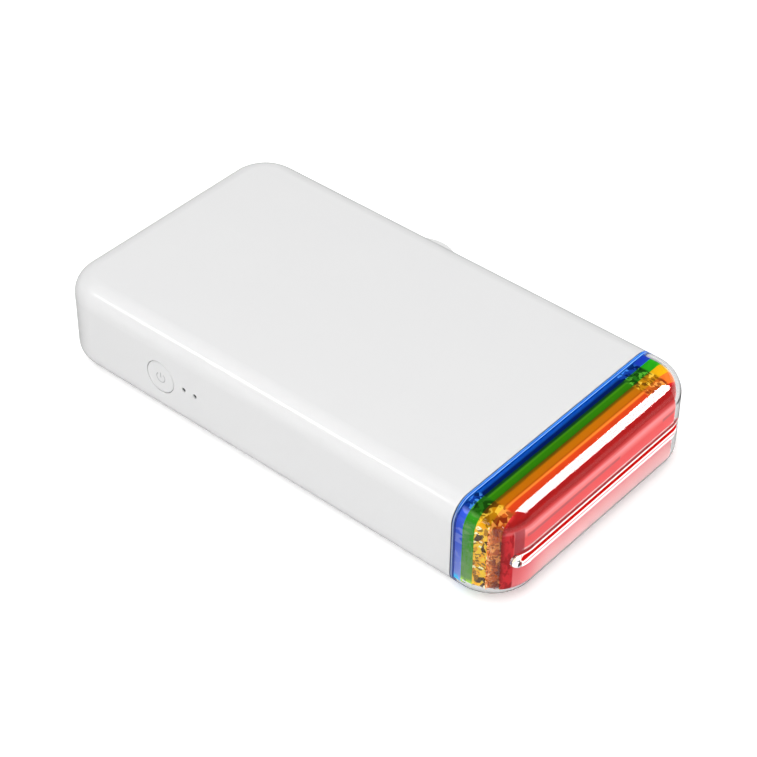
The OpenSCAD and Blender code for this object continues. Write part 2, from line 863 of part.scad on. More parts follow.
// Tact switch behind the button
module power_switch() {
    half = 2.6;
    color(rubber)
    difference() {
        translate([switch_x, button_y - half, button_z - half])
            cube([switch_t, 2 * half, 2 * half]);
        rod(button_c, plunger_r + 2 * bore_gap, switch_x - past,
            past + plunger_seat + button_travel + side_play);
    }
}

// Two light pipes from the lamps on the side board to the wall
module light_pipes() {
    inset = 0.3;
    color([0.85, 0.9, 0.95, 0.6])
    for (y = light_ys) {
        rod([y, light_z], light_d / 2 - bore_gap, -side_x + inset,
            side_board_x - led_t + side_x - inset);
    }
}

// Upright board with the switch and the two lamps
module side_board() {
    board_h = 9;
    led_w = 1;
    led_h = 1.6;
    color(board_green) {
        translate([side_board_x, side_board_y0, button_z - board_h / 2])
            cube([board_t, side_board_l, board_h]);
        for (y = light_ys) {
            translate([side_board_x - led_t, y - led_w / 2, light_z - led_h / 2])
                cube([led_t, led_w, led_h]);
        }
    }
}

// Deck over the paper tray: it carries the battery and both boards
module deck_plate() {
    stud_r = 2;
    stud_in = 4;
    leg_l = 8;
    fence_h = 3;
    shelf_x = side_board_x + board_t;
    shelf_top = button_z + 3;
    vent = [8, 6];
    vent_pitch = 12;
    color([0.55, 0.57, 0.6])
    difference() {
        union() {
            translate([-plate_out_x, deck_y0, deck_z])
                cube([2 * plate_out_x, deck_y1 - deck_y0, deck_t]);
            // Shelf that holds the side board from behind
            translate([shelf_x, side_board_y0, deck_z])
                cube([-plate_out_x - shelf_x + eps, side_board_l, deck_t]);
            translate([shelf_x, side_board_y0, deck_z])
                cube([deck_t, side_board_l, shelf_top - deck_z]);
            // Studs under the main board
            for (sx = [-1, 1], y = [board_y0 + stud_in, deck_y1 - stud_in]) {
                translate([sx * (board_w / 2 - stud_in), y, deck_top - eps])
                    cylinder(r = stud_r, h = stud_h + eps);
            }
            // Legs down to the base cover: two on the left, one behind the cartridge's way out
            for (y = [deck_y0 + leg_l, deck_y1 - 2.5 * leg_l]) {
                translate([-plate_out_x, y, floor_z]) cube([plate_t, leg_l, deck_z - floor_z + eps]);
            }
            translate([plate_x, tray_y1 + deck_t, floor_z])
                cube([plate_t, deck_y1 - tray_y1 - deck_t, deck_z - floor_z + eps]);
            // Fence round the battery
            for (y = [battery_y0 - deck_t - side_play, battery_y0 + battery_l + side_play]) {
                translate([-battery_w / 2, y, deck_top - eps]) cube([battery_w, deck_t, fence_h]);
            }
        }
        for (i = [-1:1]) {
            translate([i * vent_pitch - vent[0] / 2, deck_y1 - 2 * vent[1], deck_z - past])
                cube([vent[0], vent[1], deck_t + 2 * past]);
        }
    }
}

// Flat rechargeable cell with its folded edges
module battery() {
    fold = 0.4;
    color([0.75, 0.77, 0.8])
    translate([-battery_w / 2, battery_y0, deck_top]) {
        translate([0, 0, fold]) cube([battery_w, battery_l, battery_t - 2 * fold]);
        translate([fold, fold, 0]) cube([battery_w - 2 * fold, battery_l - 2 * fold, battery_t]);
    }
}

// Main board with its larger chips, standing on the deck's studs
module main_board() {
    // Each chip as its corner on the board, then its width, length and height
    chips = [[-8, 5, 9, 9, 1], [8, 4, 6, 5, 1.4], [-20, 6, 7, 6, 2], [6, 12, 10, 4, 1.6]];
    color(board_green) {
        translate([-board_w / 2, board_y0, board_z]) cube([board_w, board_y1 - board_y0, board_t]);
        for (c = chips) {
            translate([c[0], board_y0 + c[1], board_top - eps]) cube([c[2], c[3], c[4] + eps]);
        }
    }
}

// Opening shaped like the charging plug, grown by gap
module port_opening(gap, y0, y1) {
    h = port_h + 2 * gap;
    w = port_w + 2 * gap;
    translate([-w / 2 + h / 2, y0, port_z - h / 2]) cube([w - h, y1 - y0, h]);
    for (s = [-1, 1]) {
        translate([s * (w / 2 - h / 2), y1, port_z])
            rotate([90, 0, 0]) cylinder(r = h / 2, h = y1 - y0);
    }
}

// Charging port: a metal shell with a tongue in the middle
module usb_port() {
    metal_t = 0.35;
    rear_t = 0.8;
    tongue_w = 6.6;
    tongue_t = 0.7;
    tongue_in = 1;
    tab_side = 0.85;
    tab = [port_w - 2 * tab_side, 3, 0.4];
    y0 = port_y1 - port_l;
    color(steel) {
        difference() {
            port_opening(0, y0, port_y1);
            port_opening(-metal_t, y0 + rear_t, port_y1 + past);
        }
        translate([-tongue_w / 2, y0 + rear_t / 2, port_z - tongue_t / 2])
            cube([tongue_w, port_l - rear_t / 2 - tongue_in, tongue_t]);
        translate([-tab[0] / 2, y0 + tongue_in, board_top]) cube(tab);
    }
}

// Reset switch on the main board, with room for the plunger's travel
module reset_switch() {
    body = [4, 3.4, 3.2];
    body_in = 4.6;
    bore = 0.9;
    hole_y0 = plunger_y1 - plunger_l - plunger_travel - side_play;
    color(rubber)
    difference() {
        translate([pinhole_x - body[0] / 2, board_y1 - body_in, board_top]) cube(body);
        translate([pinhole_x, board_y1, pinhole_z])
            rotate([90, 0, 0]) cylinder(r = bore, h = board_y1 - hole_y0);
    }
}

// Plunger behind the pinhole
module reset_plunger() {
    plunger_r = 0.8;
    color(nylon)
    translate([pinhole_x, plunger_y1, pinhole_z])
        rotate([90, 0, 0]) cylinder(r = plunger_r, h = plunger_l);
}

// Steel side plate between the gears and the cartridge
module left_side_plate() {
    color(sheet_steel)
    difference() {
        translate([-plate_out_x, plate_y0, floor_z])
            cube([plate_t, plate_y1 - plate_y0, plate_top - floor_z]);
        for (c = [capstan_c, platen_c, pick_c, take_up_c]) {
            plate_bore(c, shaft_r + bore_gap, -plate_out_x, plate_t);
        }
        plate_bore(pinch_c, thin_r, -plate_out_x, plate_t);
        plate_bore(motor_c, motor_boss_r + fit_gap, -plate_out_x, plate_t);
        plate_bore(head_pivot_c, thin_r, -plate_out_x, plate_t);
    }
}

// Outline, seen from the side, of the window that the cartridge slides out through
module window_outline() {
    for (lobe = [[take_up_c, take_up_lobe_r], [supply_c, supply_lobe_r]]) {
        translate(lobe[0]) circle(r = lobe[1] + cart_wall + window_gap);
    }
    translate([take_up_c[0], head_z0 - window_gap])
        square([supply_c[0] - take_up_c[0], take_up_c[1] + web_rise - head_z0 + 2 * window_gap]);
    translate([tray_y0 - window_gap, floor_z - past])
        square([case_l, tray_top - floor_z + window_gap + past]);
    translate([supply_c[0], tray_top])
        square([cheek_y + cheek_w + window_gap - supply_c[0], supply_c[1] - tray_top]);
}

// Steel side plate beside the door: an arch over the cartridge's way out
module right_side_plate() {
    color(sheet_steel)
    difference() {
        translate([plate_x, 0, 0])
            rotate([90, 0, 90])
                linear_extrude(plate_t)
                    difference() {
                        translate([plate_y0, floor_z])
                            square([plate_y1 - plate_y0, plate_top - floor_z]);
                        window_outline();
                    }
        for (c = [capstan_c, platen_c]) {
            plate_bore(c, shaft_r + bore_gap, plate_x, plate_t);
        }
        plate_bore(pinch_c, thin_r, plate_x, plate_t);
        plate_bore(head_pivot_c, thin_r, plate_x, plate_t);
    }
}

// Part ring of a ribbon lobe's wall: a tube, closed at its ends, open below on one side
module lobe(c, r, side) {
    cut_w = 2 * r;
    cut_h = r + 3;
    inner_l = 2 * (cart_x - cart_wall);
    difference() {
        rod(c, r + cart_wall, -cart_x, 2 * cart_x);
        rod(c, r, -cart_x + cart_wall, inner_l);
        translate([-cart_x + cart_wall, c[0] + (side - 1) / 2 * cut_w, c[1] - cut_h])
            cube([inner_l, cut_w, cut_h]);
    }
}

// Cartridge: paper tray and two ribbon lobes. Its inner end is open between the lobes, so
// that it slides off the print head; its outer end has a web and ribs to grip
module cartridge_case() {
    notch_r = pick_r + side_play;
    grips = 7;
    grip_pitch = 3;
    grip_w = 1.2;
    grip_out = 0.6;
    grip_in = 1;
    color([0.25, 0.27, 0.3])
    difference() {
        union() {
            lobe(take_up_c, take_up_lobe_r, 1);
            lobe(supply_c, supply_lobe_r, -1);
            translate([cart_x - cart_wall, take_up_c[0], take_up_c[1] - web_drop])
                cube([cart_wall, supply_c[0] - take_up_c[0], web_drop + web_rise]);
            // Tray
            difference() {
                translate([-cart_x, tray_y0, cart_z0])
                    cube([2 * cart_x, tray_y1 - tray_y0, tray_h]);
                translate([-cart_x + cart_wall, tray_y0 - past, paper_z])
                    cube([2 * (cart_x - cart_wall), tray_y1 - tray_y0 + past - cart_wall, case_h]);
            }
            // Cheeks that join the tray to the supply lobe
            for (x = [-cart_x, cart_x - cart_wall]) {
                translate([x, cheek_y, tray_top - eps])
                    cube([cart_wall, cheek_w, supply_c[1] - tray_top]);
            }
            // Ribs to grip on the outer end
            for (i = [0:grips - 1]) {
                translate([cart_x - eps, tab_y + (i - grips / 2) * grip_pitch, cart_z0 + grip_in])
                    cube([grip_out, grip_w, tray_h - 2 * grip_in]);
            }
        }
        // Bearings of the two spools
        for (c = [take_up_c, supply_c]) {
            plate_bore(c, spool_r + bore_gap, -cart_x, 2 * cart_x);
        }
        // Notch for the pick shaft and its roller
        translate([-cart_x - past, pick_y - notch_r, paper_top + bore_gap])
            cube([2 * (cart_x + past), 2 * notch_r, 2 * notch_r]);
    }
}

// The sheets left in the tray
module photo_paper() {
    color([0.97, 0.97, 0.95])
    translate([-paper_w / 2, paper_y0, paper_z])
        cube([paper_w, paper_l, paper_top - paper_z]);
}

// Dye ribbon stretched between the rolls under the print head
module ribbon_film() {
    inset = 0.5;
    turn = 0.6;
    z = head_z0 - side_play;
    y0 = platen_y - head_l / 2 - turn;
    y1 = platen_y + head_l / 2 + turn;
    wind_on = 1.5;
    wind_off = 2.5;
    a = [take_up_c[0] + wind_on, take_up_c[1] - take_up_r - turn];
    b = [supply_c[0] - wind_off, supply_c[1] - supply_r - side_play];
    color([0.75, 0.2, 0.5])
    translate([-paper_w / 2 + inset, 0, 0])
        rotate([90, 0, 90])
            linear_extrude(paper_w - 2 * inset)
                polygon([a, [y0, z], [y1, z], b, b - [0, 2 * film_t],
                    [y1 + film_t / 2, z - film_t], [y0 - film_t / 2, z - film_t],
                    a - [2 * film_t, 0]]);
}

// A roll of dye ribbon on its core; the roll lies between the lobe's end walls
module ribbon_roll(c, r) {
    end_gap = 1;
    rod(c, r - spool_gap, -paper_w / 2 + end_gap, paper_w - 2 * end_gap);
    rod(c, spool_r, -cart_x + fit_gap, 2 * (cart_x - fit_gap));
}

// Full ribbon roll
module supply_spool() {
    color([0.75, 0.2, 0.5]) ribbon_roll(supply_c, supply_r);
}

// Take-up roll; its core runs through the left plate to its gear
module take_up_spool() {
    color([0.3, 0.3, 0.32]) {
        ribbon_roll(take_up_c, take_up_r);
        rod(take_up_c, shaft_r, plane_a_x - shaft_end, paper_w / 2 - plane_a_x);
    }
}

module take_up_gear() {
    color(nylon) spur_gear(take_up_c, take_up_teeth, plane_a_x, gear_w, take_up_phase, shaft_r);
}

// Platen roller under the print head: steel shaft, rubber sleeve and gear
module platen_shaft() {
    color(steel) rod(platen_c, shaft_r, shaft_x0, plate_out_x - shaft_x0);
}

module platen_roller() {
    color(rubber)
    difference() {
        rod(platen_c, platen_r, -paper_w / 2, paper_w);
        rod(platen_c, shaft_r, -paper_w / 2 - past, paper_w + 2 * past);
    }
}

module platen_gear() {
    color(nylon) spur_gear(platen_c, small_teeth, plane_b_x, gear_w, platen_phase, shaft_r);
}

// Capstan that draws the sheet, with a gear across both planes
module capstan_shaft() {
    color(steel) {
        rod(capstan_c, shaft_r, shaft_x0, plate_out_x - shaft_x0);
        rod(capstan_c, capstan_r, -paper_w / 2, paper_w);
    }
}

module capstan_gear() {
    color(nylon)
    spur_gear(capstan_c, capstan_teeth, plane_b_x, 2 * gear_w + plane_gap, capstan_phase, shaft_r);
}

// Pinch roller that turns freely on its fixed shaft above the capstan
module pinch_roller() {
    end_gap = 1;
    color(rubber)
    difference() {
        rod(pinch_c, pinch_r, -paper_w / 2 + end_gap, paper_w - 2 * end_gap);
        rod(pinch_c, thin_r + bore_gap, -paper_w / 2, paper_w);
    }
}

module pinch_shaft() {
    color(steel) rod(pinch_c, thin_r, -plate_out_x, 2 * plate_out_x);
}

// Two idlers that turn freely on posts
module front_idler() {
    color(nylon)
    spur_gear(front_idler_c, idler_teeth, plane_b_x, gear_w, front_idler_phase, shaft_r + bore_gap);
}

module rear_idler() {
    color(nylon)
    spur_gear(rear_idler_c, small_teeth, plane_b_x, gear_w, rear_idler_phase, shaft_r + bore_gap);
}

// Posts riveted to the left plate for the two idlers
module idler_posts() {
    shoulder_r = shaft_r + 0.7;
    shoulder_x = plane_b_x + gear_w + side_play;
    color(steel)
    for (c = [front_idler_c, rear_idler_c]) {
        rod(c, shaft_r, shaft_x0, -plate_out_x - shaft_x0);
        rod(c, shoulder_r, shoulder_x, -plate_out_x - shoulder_x);
    }
}

// Pick roller that pushes the top sheet forward, on a shaft held at its left end
module pick_shaft() {
    shaft_end = 1;
    color(steel) rod(pick_c, shaft_r, shaft_x0, pick_roller_l / 2 + shaft_end - shaft_x0);
}

module pick_roller() {
    color(rubber)
    difference() {
        rod(pick_c, pick_r, -pick_roller_l / 2, pick_roller_l);
        rod(pick_c, shaft_r, -pick_roller_l / 2 - past, pick_roller_l + 2 * past);
    }
}

module pick_gear() {
    color(nylon) spur_gear(pick_c, small_teeth, plane_b_x, gear_w, pick_phase, shaft_r);
}

// Feed motor below the paper path, screwed to the left plate
module feed_motor() {
    tail_l = 0.8;
    color(steel) {
        rod(motor_c, motor_r, -plate_x, motor_l);
        rod(motor_c, motor_boss_r, -plate_out_x, plate_t + eps);
        rod(motor_c, motor_boss_r, motor_l - plate_x - eps, tail_l);
    }
}

module motor_pinion() {
    motor_shaft_r = 0.5;
    color([0.8, 0.7, 0.4]) {
        spur_gear(motor_c, small_teeth, plane_b_x, gear_w, motor_phase, motor_shaft_r - fit_gap);
        rod(motor_c, motor_shaft_r, plane_b_x, -plate_out_x - plane_b_x - side_play);
    }
}

// Print head: a finned heat sink with the heating strip below, on a pivoting bracket
module print_head() {
    strip_w = 2;
    strip_h = 0.8;
    fins = 4;
    fin_pitch = 2.2;
    fin_gap = 1;
    fin_depth = 1.2;
    color([0.78, 0.78, 0.76]) {
        difference() {
            translate([-paper_w / 2, platen_y - head_l / 2, head_z0 + strip_h])
                cube([paper_w, head_l, head_top - head_z0 - strip_h]);
            for (s = [-1, 1], i = [1:fins]) {
                translate([-paper_w / 2 - past, platen_y + s * head_l / 2 - fin_depth,
                        head_top - i * fin_pitch])
                    cube([paper_w + 2 * past, 2 * fin_depth, fin_gap]);
            }
        }
        translate([-paper_w / 2, platen_y - strip_w / 2, head_z0])
            cube([paper_w, strip_w, strip_h + eps]);
    }
}

module head_bracket() {
    ear_t = 1.2;
    ear_r = 2;
    color(sheet_steel)
    difference() {
        union() {
            translate([-paper_w / 2, platen_y - head_l / 2, head_top])
                cube([paper_w, pivot_back + head_l / 2, head_plate_t]);
            for (x = [-paper_w / 2, paper_w / 2 - ear_t]) {
                rod(head_pivot_c, ear_r, x, ear_t);
                translate([x, head_pivot_c[0] - ear_r, head_pivot_c[1]])
                    cube([ear_t, ear_r, pivot_drop + eps]);
            }
        }
        plate_bore(head_pivot_c, thin_r + bore_gap, -paper_w / 2, paper_w);
    }
}

module head_pivot() {
    color(steel) rod(head_pivot_c, thin_r, -plate_out_x, 2 * plate_out_x);
}

// Puts the middle of the footprint, pull tab included, over the origin
module placed() {
    translate([-tab_out / 2, 0, 0]) children();
}

placed() upper_shell();
placed() base_cover();
placed() rubber_feet();
placed() case_screws();
placed() end_cap();
placed() stripe_blue();
placed() stripe_green();
placed() stripe_yellow();
placed() stripe_orange();
placed() stripe_red();
placed() exit_frame();
placed() cartridge_door();
placed() door_hinge_pins();
placed() door_latch();
placed() power_button();
placed() power_switch();
placed() light_pipes();
placed() side_board();
placed() main_board();
placed() usb_port();
placed() reset_plunger();
placed() reset_switch();
placed() battery();
placed() deck_plate();
placed() left_side_plate();
placed() right_side_plate();
placed() cartridge_case();
placed() photo_paper();
placed() ribbon_film();
placed() supply_spool();
placed() take_up_spool();
placed() take_up_gear();
placed() platen_shaft();
placed() platen_roller();
placed() platen_gear();
placed() capstan_shaft();
placed() capstan_gear();
placed() pinch_roller();
placed() pinch_shaft();
placed() front_idler();
placed() rear_idler();
placed() idler_posts();
placed() pick_shaft();
placed() pick_roller();
placed() pick_gear();
placed() feed_motor();
placed() motor_pinion();
placed() head_pivot();
placed() head_bracket();
placed() print_head();
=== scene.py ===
"""Compact photo printer: the finish of each piece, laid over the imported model."""
import math
import random

import bmesh
import bpy
from mathutils import Matrix, Vector


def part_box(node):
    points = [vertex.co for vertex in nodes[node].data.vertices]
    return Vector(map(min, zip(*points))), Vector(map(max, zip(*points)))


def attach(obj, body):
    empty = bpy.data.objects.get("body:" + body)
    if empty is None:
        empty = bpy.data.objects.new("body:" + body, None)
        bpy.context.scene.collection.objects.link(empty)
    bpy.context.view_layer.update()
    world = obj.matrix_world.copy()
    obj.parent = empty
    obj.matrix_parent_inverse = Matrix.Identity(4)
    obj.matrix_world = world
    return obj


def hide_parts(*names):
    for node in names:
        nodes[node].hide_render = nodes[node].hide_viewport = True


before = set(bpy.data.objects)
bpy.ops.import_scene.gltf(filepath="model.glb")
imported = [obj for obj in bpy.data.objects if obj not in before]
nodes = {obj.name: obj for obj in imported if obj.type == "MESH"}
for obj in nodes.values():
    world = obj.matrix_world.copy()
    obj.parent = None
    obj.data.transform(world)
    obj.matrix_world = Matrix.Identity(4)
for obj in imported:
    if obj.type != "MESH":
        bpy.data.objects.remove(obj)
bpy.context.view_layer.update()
mm = 0.001

# Camera: a long lens on the front left corner of the printer, from above, as in the
# photograph. Its place was fitted to the edges of the case, for a frame of 757 pixels.
view_turn = math.radians(-49.665)
view_rise = math.radians(40.151)
view_roll = math.radians(0.54)
view_distance = 592.459 * mm
back = Vector((math.sin(view_turn) * math.cos(view_rise),
               -math.cos(view_turn) * math.cos(view_rise), math.sin(view_rise)))
right = Vector((math.cos(view_turn), math.sin(view_turn), 0))
up = back.cross(right)
aim = Vector((-1, 0, 13.5)) * mm + 2.148 * mm * right - 4.59 * mm * up
rolled_right = math.cos(view_roll) * right + math.sin(view_roll) * up
rolled_up = math.cos(view_roll) * up - math.sin(view_roll) * right
camera = bpy.data.objects.new("camera", bpy.data.cameras.new("camera"))
frame_pixels, lens_pixels, sensor_width = 757, 2282.432, 36
camera.data.sensor_width = sensor_width
camera.data.lens = lens_pixels / frame_pixels * sensor_width
camera.data.clip_start = 0.01
camera.data.clip_end = 50
camera.matrix_world = Matrix.Translation(aim + view_distance * back) @ Matrix(
    (rolled_right, rolled_up, back)).transposed().to_4x4()
bpy.context.scene.collection.objects.link(camera)
bpy.context.scene.camera = camera
bpy.context.scene.view_settings.view_transform = "Standard"

# Table: a pale, even sheet under the printer, matt, without an edge in sight. It turns
# white further off and stays darker in gloss, so that the polished edges keep their shape.


class Wire:
    """One value inside a finish, so that shader maths can be written as sums."""

    def __init__(self, finish, socket):
        self.finish = finish
        self.socket = socket

    def maths(self, operation, *values):
        return self.finish.node("ShaderNodeMath", {"operation": operation}, dict(enumerate(values)))

    def __add__(self, other):
        return self.maths("ADD", self, other)

    def __sub__(self, other):
        return self.maths("SUBTRACT", self, other)

    def __rsub__(self, other):
        return self.maths("SUBTRACT", other, self)

    def __mul__(self, other):
        return self.maths("MULTIPLY", self, other)

    def __truediv__(self, other):
        return self.maths("DIVIDE", self, other)

    def __abs__(self):
        return self.maths("ABSOLUTE", self)

    def __gt__(self, other):
        return self.maths("GREATER_THAN", self, other)

    def __lt__(self, other):
        return self.maths("LESS_THAN", self, other)

    __radd__ = __add__
    __rmul__ = __mul__

    def most(self, other):
        return self.maths("MAXIMUM", self, other)

    def root(self):
        return self.maths("SQRT", self)

    def step(self, low, high, at_low=0.0, at_high=1.0):
        """Runs smoothly from at_low to at_high as the value goes from low to high."""
        return self.finish.node("ShaderNodeMapRange", {"interpolation_type": "SMOOTHSTEP"},
                                {0: self, 1: low, 2: high, 3: at_low, 4: at_high})

    def between(self, rise, fall):
        """1 from the end of the rise to the start of the fall, and 0 outside them."""
        return self.step(*rise) - self.step(*fall)


class Finish:
    """One finish of the printer: a material and the nodes that feed its shader."""

    def __init__(self, name, **constants):
        self.material = bpy.data.materials.new(name)
        self.material.use_nodes = True
        self.tree = self.material.node_tree
        self.shader = self.tree.nodes["Principled BSDF"]
        for socket, value in constants.items():
            self.feed(socket.replace("_", " ").title().replace("Ior", "IOR"), value)

    def join(self, socket, value):
        if isinstance(value, Wire):
            self.tree.links.new(value.socket, socket)
        else:
            socket.default_value = value

    def feed(self, socket, value):
        self.join(self.shader.inputs[socket], value)

    def node(self, kind, settings=None, values=None, out=0):
        made = self.tree.nodes.new(kind)
        for name, value in (settings or {}).items():
            if name == "stops":
                ramp = made.color_ramp
                while len(ramp.elements) < len(value):
                    ramp.elements.new(1)
                for element, (place, colour) in zip(ramp.elements, value):
                    element.position = place
                    element.color = (*colour, 1)
            else:
                setattr(made, name, value)
        for name, value in (values or {}).items():
            self.join(made.inputs[name], value)
        return Wire(self, made.outputs[out])

    def place(self):
        return self.node("ShaderNodeTexCoord", out="Object")

    def across(self, axis):
        return self.node("ShaderNodeSeparateXYZ", None, {0: self.place()}, axis)

    def reach(self, **centre):
        """The distance from the line on which these coordinates have these values."""
        gaps = [self.across(axis) - value for axis, value in centre.items()]
        return sum(gap * gap for gap in gaps).root()

    def ray(self, kind):
        return self.node("ShaderNodeLightPath", out=f"Is {kind} Ray")

    def stretched(self, spot, stretch):
        return self.node("ShaderNodeVectorMath", {"operation": "MULTIPLY"}, {0: spot, 1: stretch})

    def noise(self, scale, detail=2.0, stretch=(1, 1, 1), out=0):
        spot = self.stretched(self.place(), stretch)
        return self.node("ShaderNodeTexNoise", None,
                         {"Vector": spot, "Scale": scale, "Detail": detail}, out)

    def cells(self, spot, scale, stretch=(1, 1, 1)):
        """One random number for each facet of a broken surface."""
        shades = self.node("ShaderNodeTexVoronoi", None,
                           {"Vector": self.stretched(spot, stretch), "Scale": scale}, "Color")
        return self.node("ShaderNodeSeparateColor", None, {0: shades}, 0)

    def blend(self, first, second, share):
        first, second = [(*c, 1) if isinstance(c, tuple) else c for c in (first, second)]
        return self.node("ShaderNodeMix", {"data_type": "RGBA"}, {0: share, 6: first, 7: second}, 2)

    def ramp(self, value, *stops):
        return self.node("ShaderNodeValToRGB", {"stops": stops}, {0: value})

    def bump(self, height, depth):
        """Depth is the real height in metres between the height's 0 and its 1."""
        self.feed("Normal", self.node("ShaderNodeBump", None,
                                      {"Strength": 1.0, "Distance": depth, "Height": height}))

    def inlay(self, tone, where):
        """Gives one part of a metal piece another, dull material."""
        self.feed("Base Color", self.blend(self.tone, tone, where))
        self.feed("Metallic", 1.0 - where)

    def on(self, *names):
        for name in names:
            piece = nodes[name]
            piece.data.materials.clear()
            piece.data.materials.append(self.material)


floor_reach, floor_drop = 3, 0.02 * mm
floor_mesh = bmesh.new()
bmesh.ops.create_grid(floor_mesh, x_segments=4, y_segments=4, size=floor_reach)
floor = bpy.data.objects.new("floor", bpy.data.meshes.new("floor"))
floor_mesh.to_mesh(floor.data)
floor_mesh.free()
floor.location.z = -floor_drop
bpy.context.scene.collection.objects.link(floor)
table = Finish("pale_table", roughness=0.8, specular_ior_level=0.0)
near_light, through_light = 0.3, 0.55
far_off = table.reach(X=0, Y=0).step(0.5, 1.5)
seen = (table.ray("Camera") * (far_off * (1 - near_light) + near_light)
        + table.ray("Transmission") * through_light)
table_white = table.blend((0.93, 0.93, 0.93), (0.95, 0.95, 0.95), table.noise(300))
table.feed("Base Color", table.blend(table_white, (0.3, 0.3, 0.3), table.ray("Glossy")))
table.feed("Emission Color", seen)
table.feed("Emission Strength", 1.0)
floor.data.materials.append(table.material)

# Room: white walls that light the lower sides, and a dim ceiling, so that the polished
# edges mirror the lamps alone. The camera sees it as plain white.
world = bpy.data.worlds.new("studio")
bpy.context.scene.world = world
world.use_nodes = True
room = world.node_tree
horizon = room.nodes.new("ShaderNodeMapRange")
horizon.interpolation_type = "SMOOTHSTEP"
wall_top, ceiling_from, wall_light, ceiling_light = 0.17, 0.3, 0.6, 0.03
for socket, value in (("From Min", wall_top), ("From Max", ceiling_from),
                      ("To Min", wall_light), ("To Max", ceiling_light)):
    horizon.inputs[socket].default_value = value
compass = room.nodes.new("ShaderNodeSeparateXYZ")
room.links.new(room.nodes.new("ShaderNodeTexCoord").outputs["Generated"], compass.inputs[0])
room.links.new(compass.outputs["Z"], horizon.inputs["Value"])
direct = room.nodes.new("ShaderNodeLightPath")
brighter = room.nodes.new("ShaderNodeMath")
brighter.operation = "MAXIMUM"
room.links.new(horizon.outputs[0], brighter.inputs[0])
room.links.new(direct.outputs["Is Camera Ray"], brighter.inputs[1])
room.links.new(brighter.outputs[0], room.nodes["Background"].inputs["Strength"])
room.nodes["Background"].inputs["Color"].default_value = (1, 1, 1, 1)

# Lamps: three wide soft panels light the case from above, left and front. Two more show
# only in gloss, and draw the bright lines along the cap and along the case's long edge.


def lamp(name, towards, along, distance, size, power, diffuse=True, gloss=True):
    """An area lamp in that direction from the printer, its first size along the given
    line. Without diffuse it only shows in gloss, and without gloss it only lights."""
    light = bpy.data.lights.new(name, "AREA")
    light.shape = "RECTANGLE"
    light.size, light.size_y = size
    light.energy = power
    holder = bpy.data.objects.new(name, light)
    outward = Vector(towards).normalized()
    length = (Vector(along) - outward.dot(Vector(along)) * outward).normalized()
    holder.matrix_world = Matrix.Translation(distance * outward) @ Matrix(
        (length, outward.cross(length), outward)).transposed().to_4x4()
    holder.visible_camera = False
    holder.visible_diffuse = diffuse
    holder.visible_glossy = gloss
    bpy.context.scene.collection.objects.link(holder)


lamp("sky_panel", towards=(0.0, 0.15, 1.0), along=(0, 1, 0), distance=1.5, size=(2.2, 2.2),
     power=28.0, gloss=False)
lamp("left_panel", towards=(-1.0, -0.1, 1.0), along=(0, 1, 0), distance=1.6, size=(1.2, 0.8),
     power=8.0, gloss=False)
lamp("front_panel", towards=(-0.2, -1.0, 0.25), along=(1, 0, 0), distance=1.6, size=(1.2, 0.6),
     power=13.0, gloss=False)
lamp("cap_line", towards=(0.583, -0.43, 0.69), along=(1, 0.3, 0.14), distance=1.6, size=(0.86, 0.8),
     power=52.0, diffuse=False)
lamp("edge_line", towards=(-0.57, 0.515, 0.64), along=(0, 1, 0), distance=1.6, size=(0.3, 0.1),
     power=2.4, diffuse=False)

# Upper shell and door: white injection mouldings in a glossy styrene blend, with a faint
# flow grain. The shell carries the pinhole, the port opening and the button hole.
white_tones = ((0.775, 0.775, 0.778), (0.79, 0.79, 0.79))
shell_white = Finish("glossy_white", roughness=0.2, specular_ior_level=0.5)
shell_white.feed("Base Color", shell_white.blend(*white_tones, shell_white.noise(60, 3)))
shell_white.feed("Roughness", shell_white.noise(350).step(0.2, 0.8, 0.18, 0.22))
shell_white.bump(shell_white.noise(1500, 1), 0.0006 * mm)
shell_white.on("upper_shell", "cartridge_door")

# Base cover and deck: the same plastic from a spark-eroded mould, matt to the touch. The
# cover closes the shell from below, and the deck inside it carries the works.


def grained(name, tones, scale, roughness, depth, stretch=(1, 1, 1), **constants):
    """A finish mottled between two tones, with an uneven gloss and a grain of that depth."""
    finish = Finish(name, **constants)
    grain = finish.noise(scale, 3, stretch)
    finish.tone = finish.blend(*tones, grain)
    finish.feed("Base Color", finish.tone)
    finish.feed("Roughness", finish.noise(scale / 5).step(
        0.25, 0.75, roughness * 0.85, roughness * 1.15))
    finish.bump(grain, depth)
    return finish


matt_tones = ((0.74, 0.74, 0.74), (0.79, 0.79, 0.79))
matt_white = grained("matt_white", matt_tones, 4000, 0.55, 0.01 * mm)
matt_white.on("base_cover", "deck_plate")

# Rubber feet and rollers: soft black rubber. The feet are four discs glued into the base;
# the rollers are sleeves, ground to size, which leaves fine rings round them.
foot_rubber = grained("foot_rubber", ((0.04, 0.04, 0.042), (0.075, 0.075, 0.08)), 3500, 0.8,
                      0.02 * mm)
foot_rubber.on("rubber_feet")
ground_rubber = grained("ground_rubber", ((0.05, 0.05, 0.052), (0.085, 0.085, 0.09)), 1800, 0.7,
                        0.006 * mm, (1, 0.05, 0.05))
ground_rubber.on("platen_roller", "pick_roller", "pinch_roller")

# Shafts, pins and screws: drawn steel, turned and polished, with rings left by the tool.
# The two case screws are zinc plated.
turned_steel = grained("turned_steel", ((0.5, 0.51, 0.52), (0.64, 0.65, 0.66)), 2400, 0.28,
                       0.002 * mm, (1, 0.05, 0.05), metallic=1.0)
turned_steel.on("door_hinge_pins", "platen_shaft", "capstan_shaft", "pinch_shaft", "pick_shaft",
                "idler_posts", "head_pivot")
plated = grained("plated_screws", ((0.52, 0.52, 0.5), (0.68, 0.68, 0.66)), 2600, 0.32, 0.002 * mm,
                 metallic=1.0)
plated.on("case_screws")

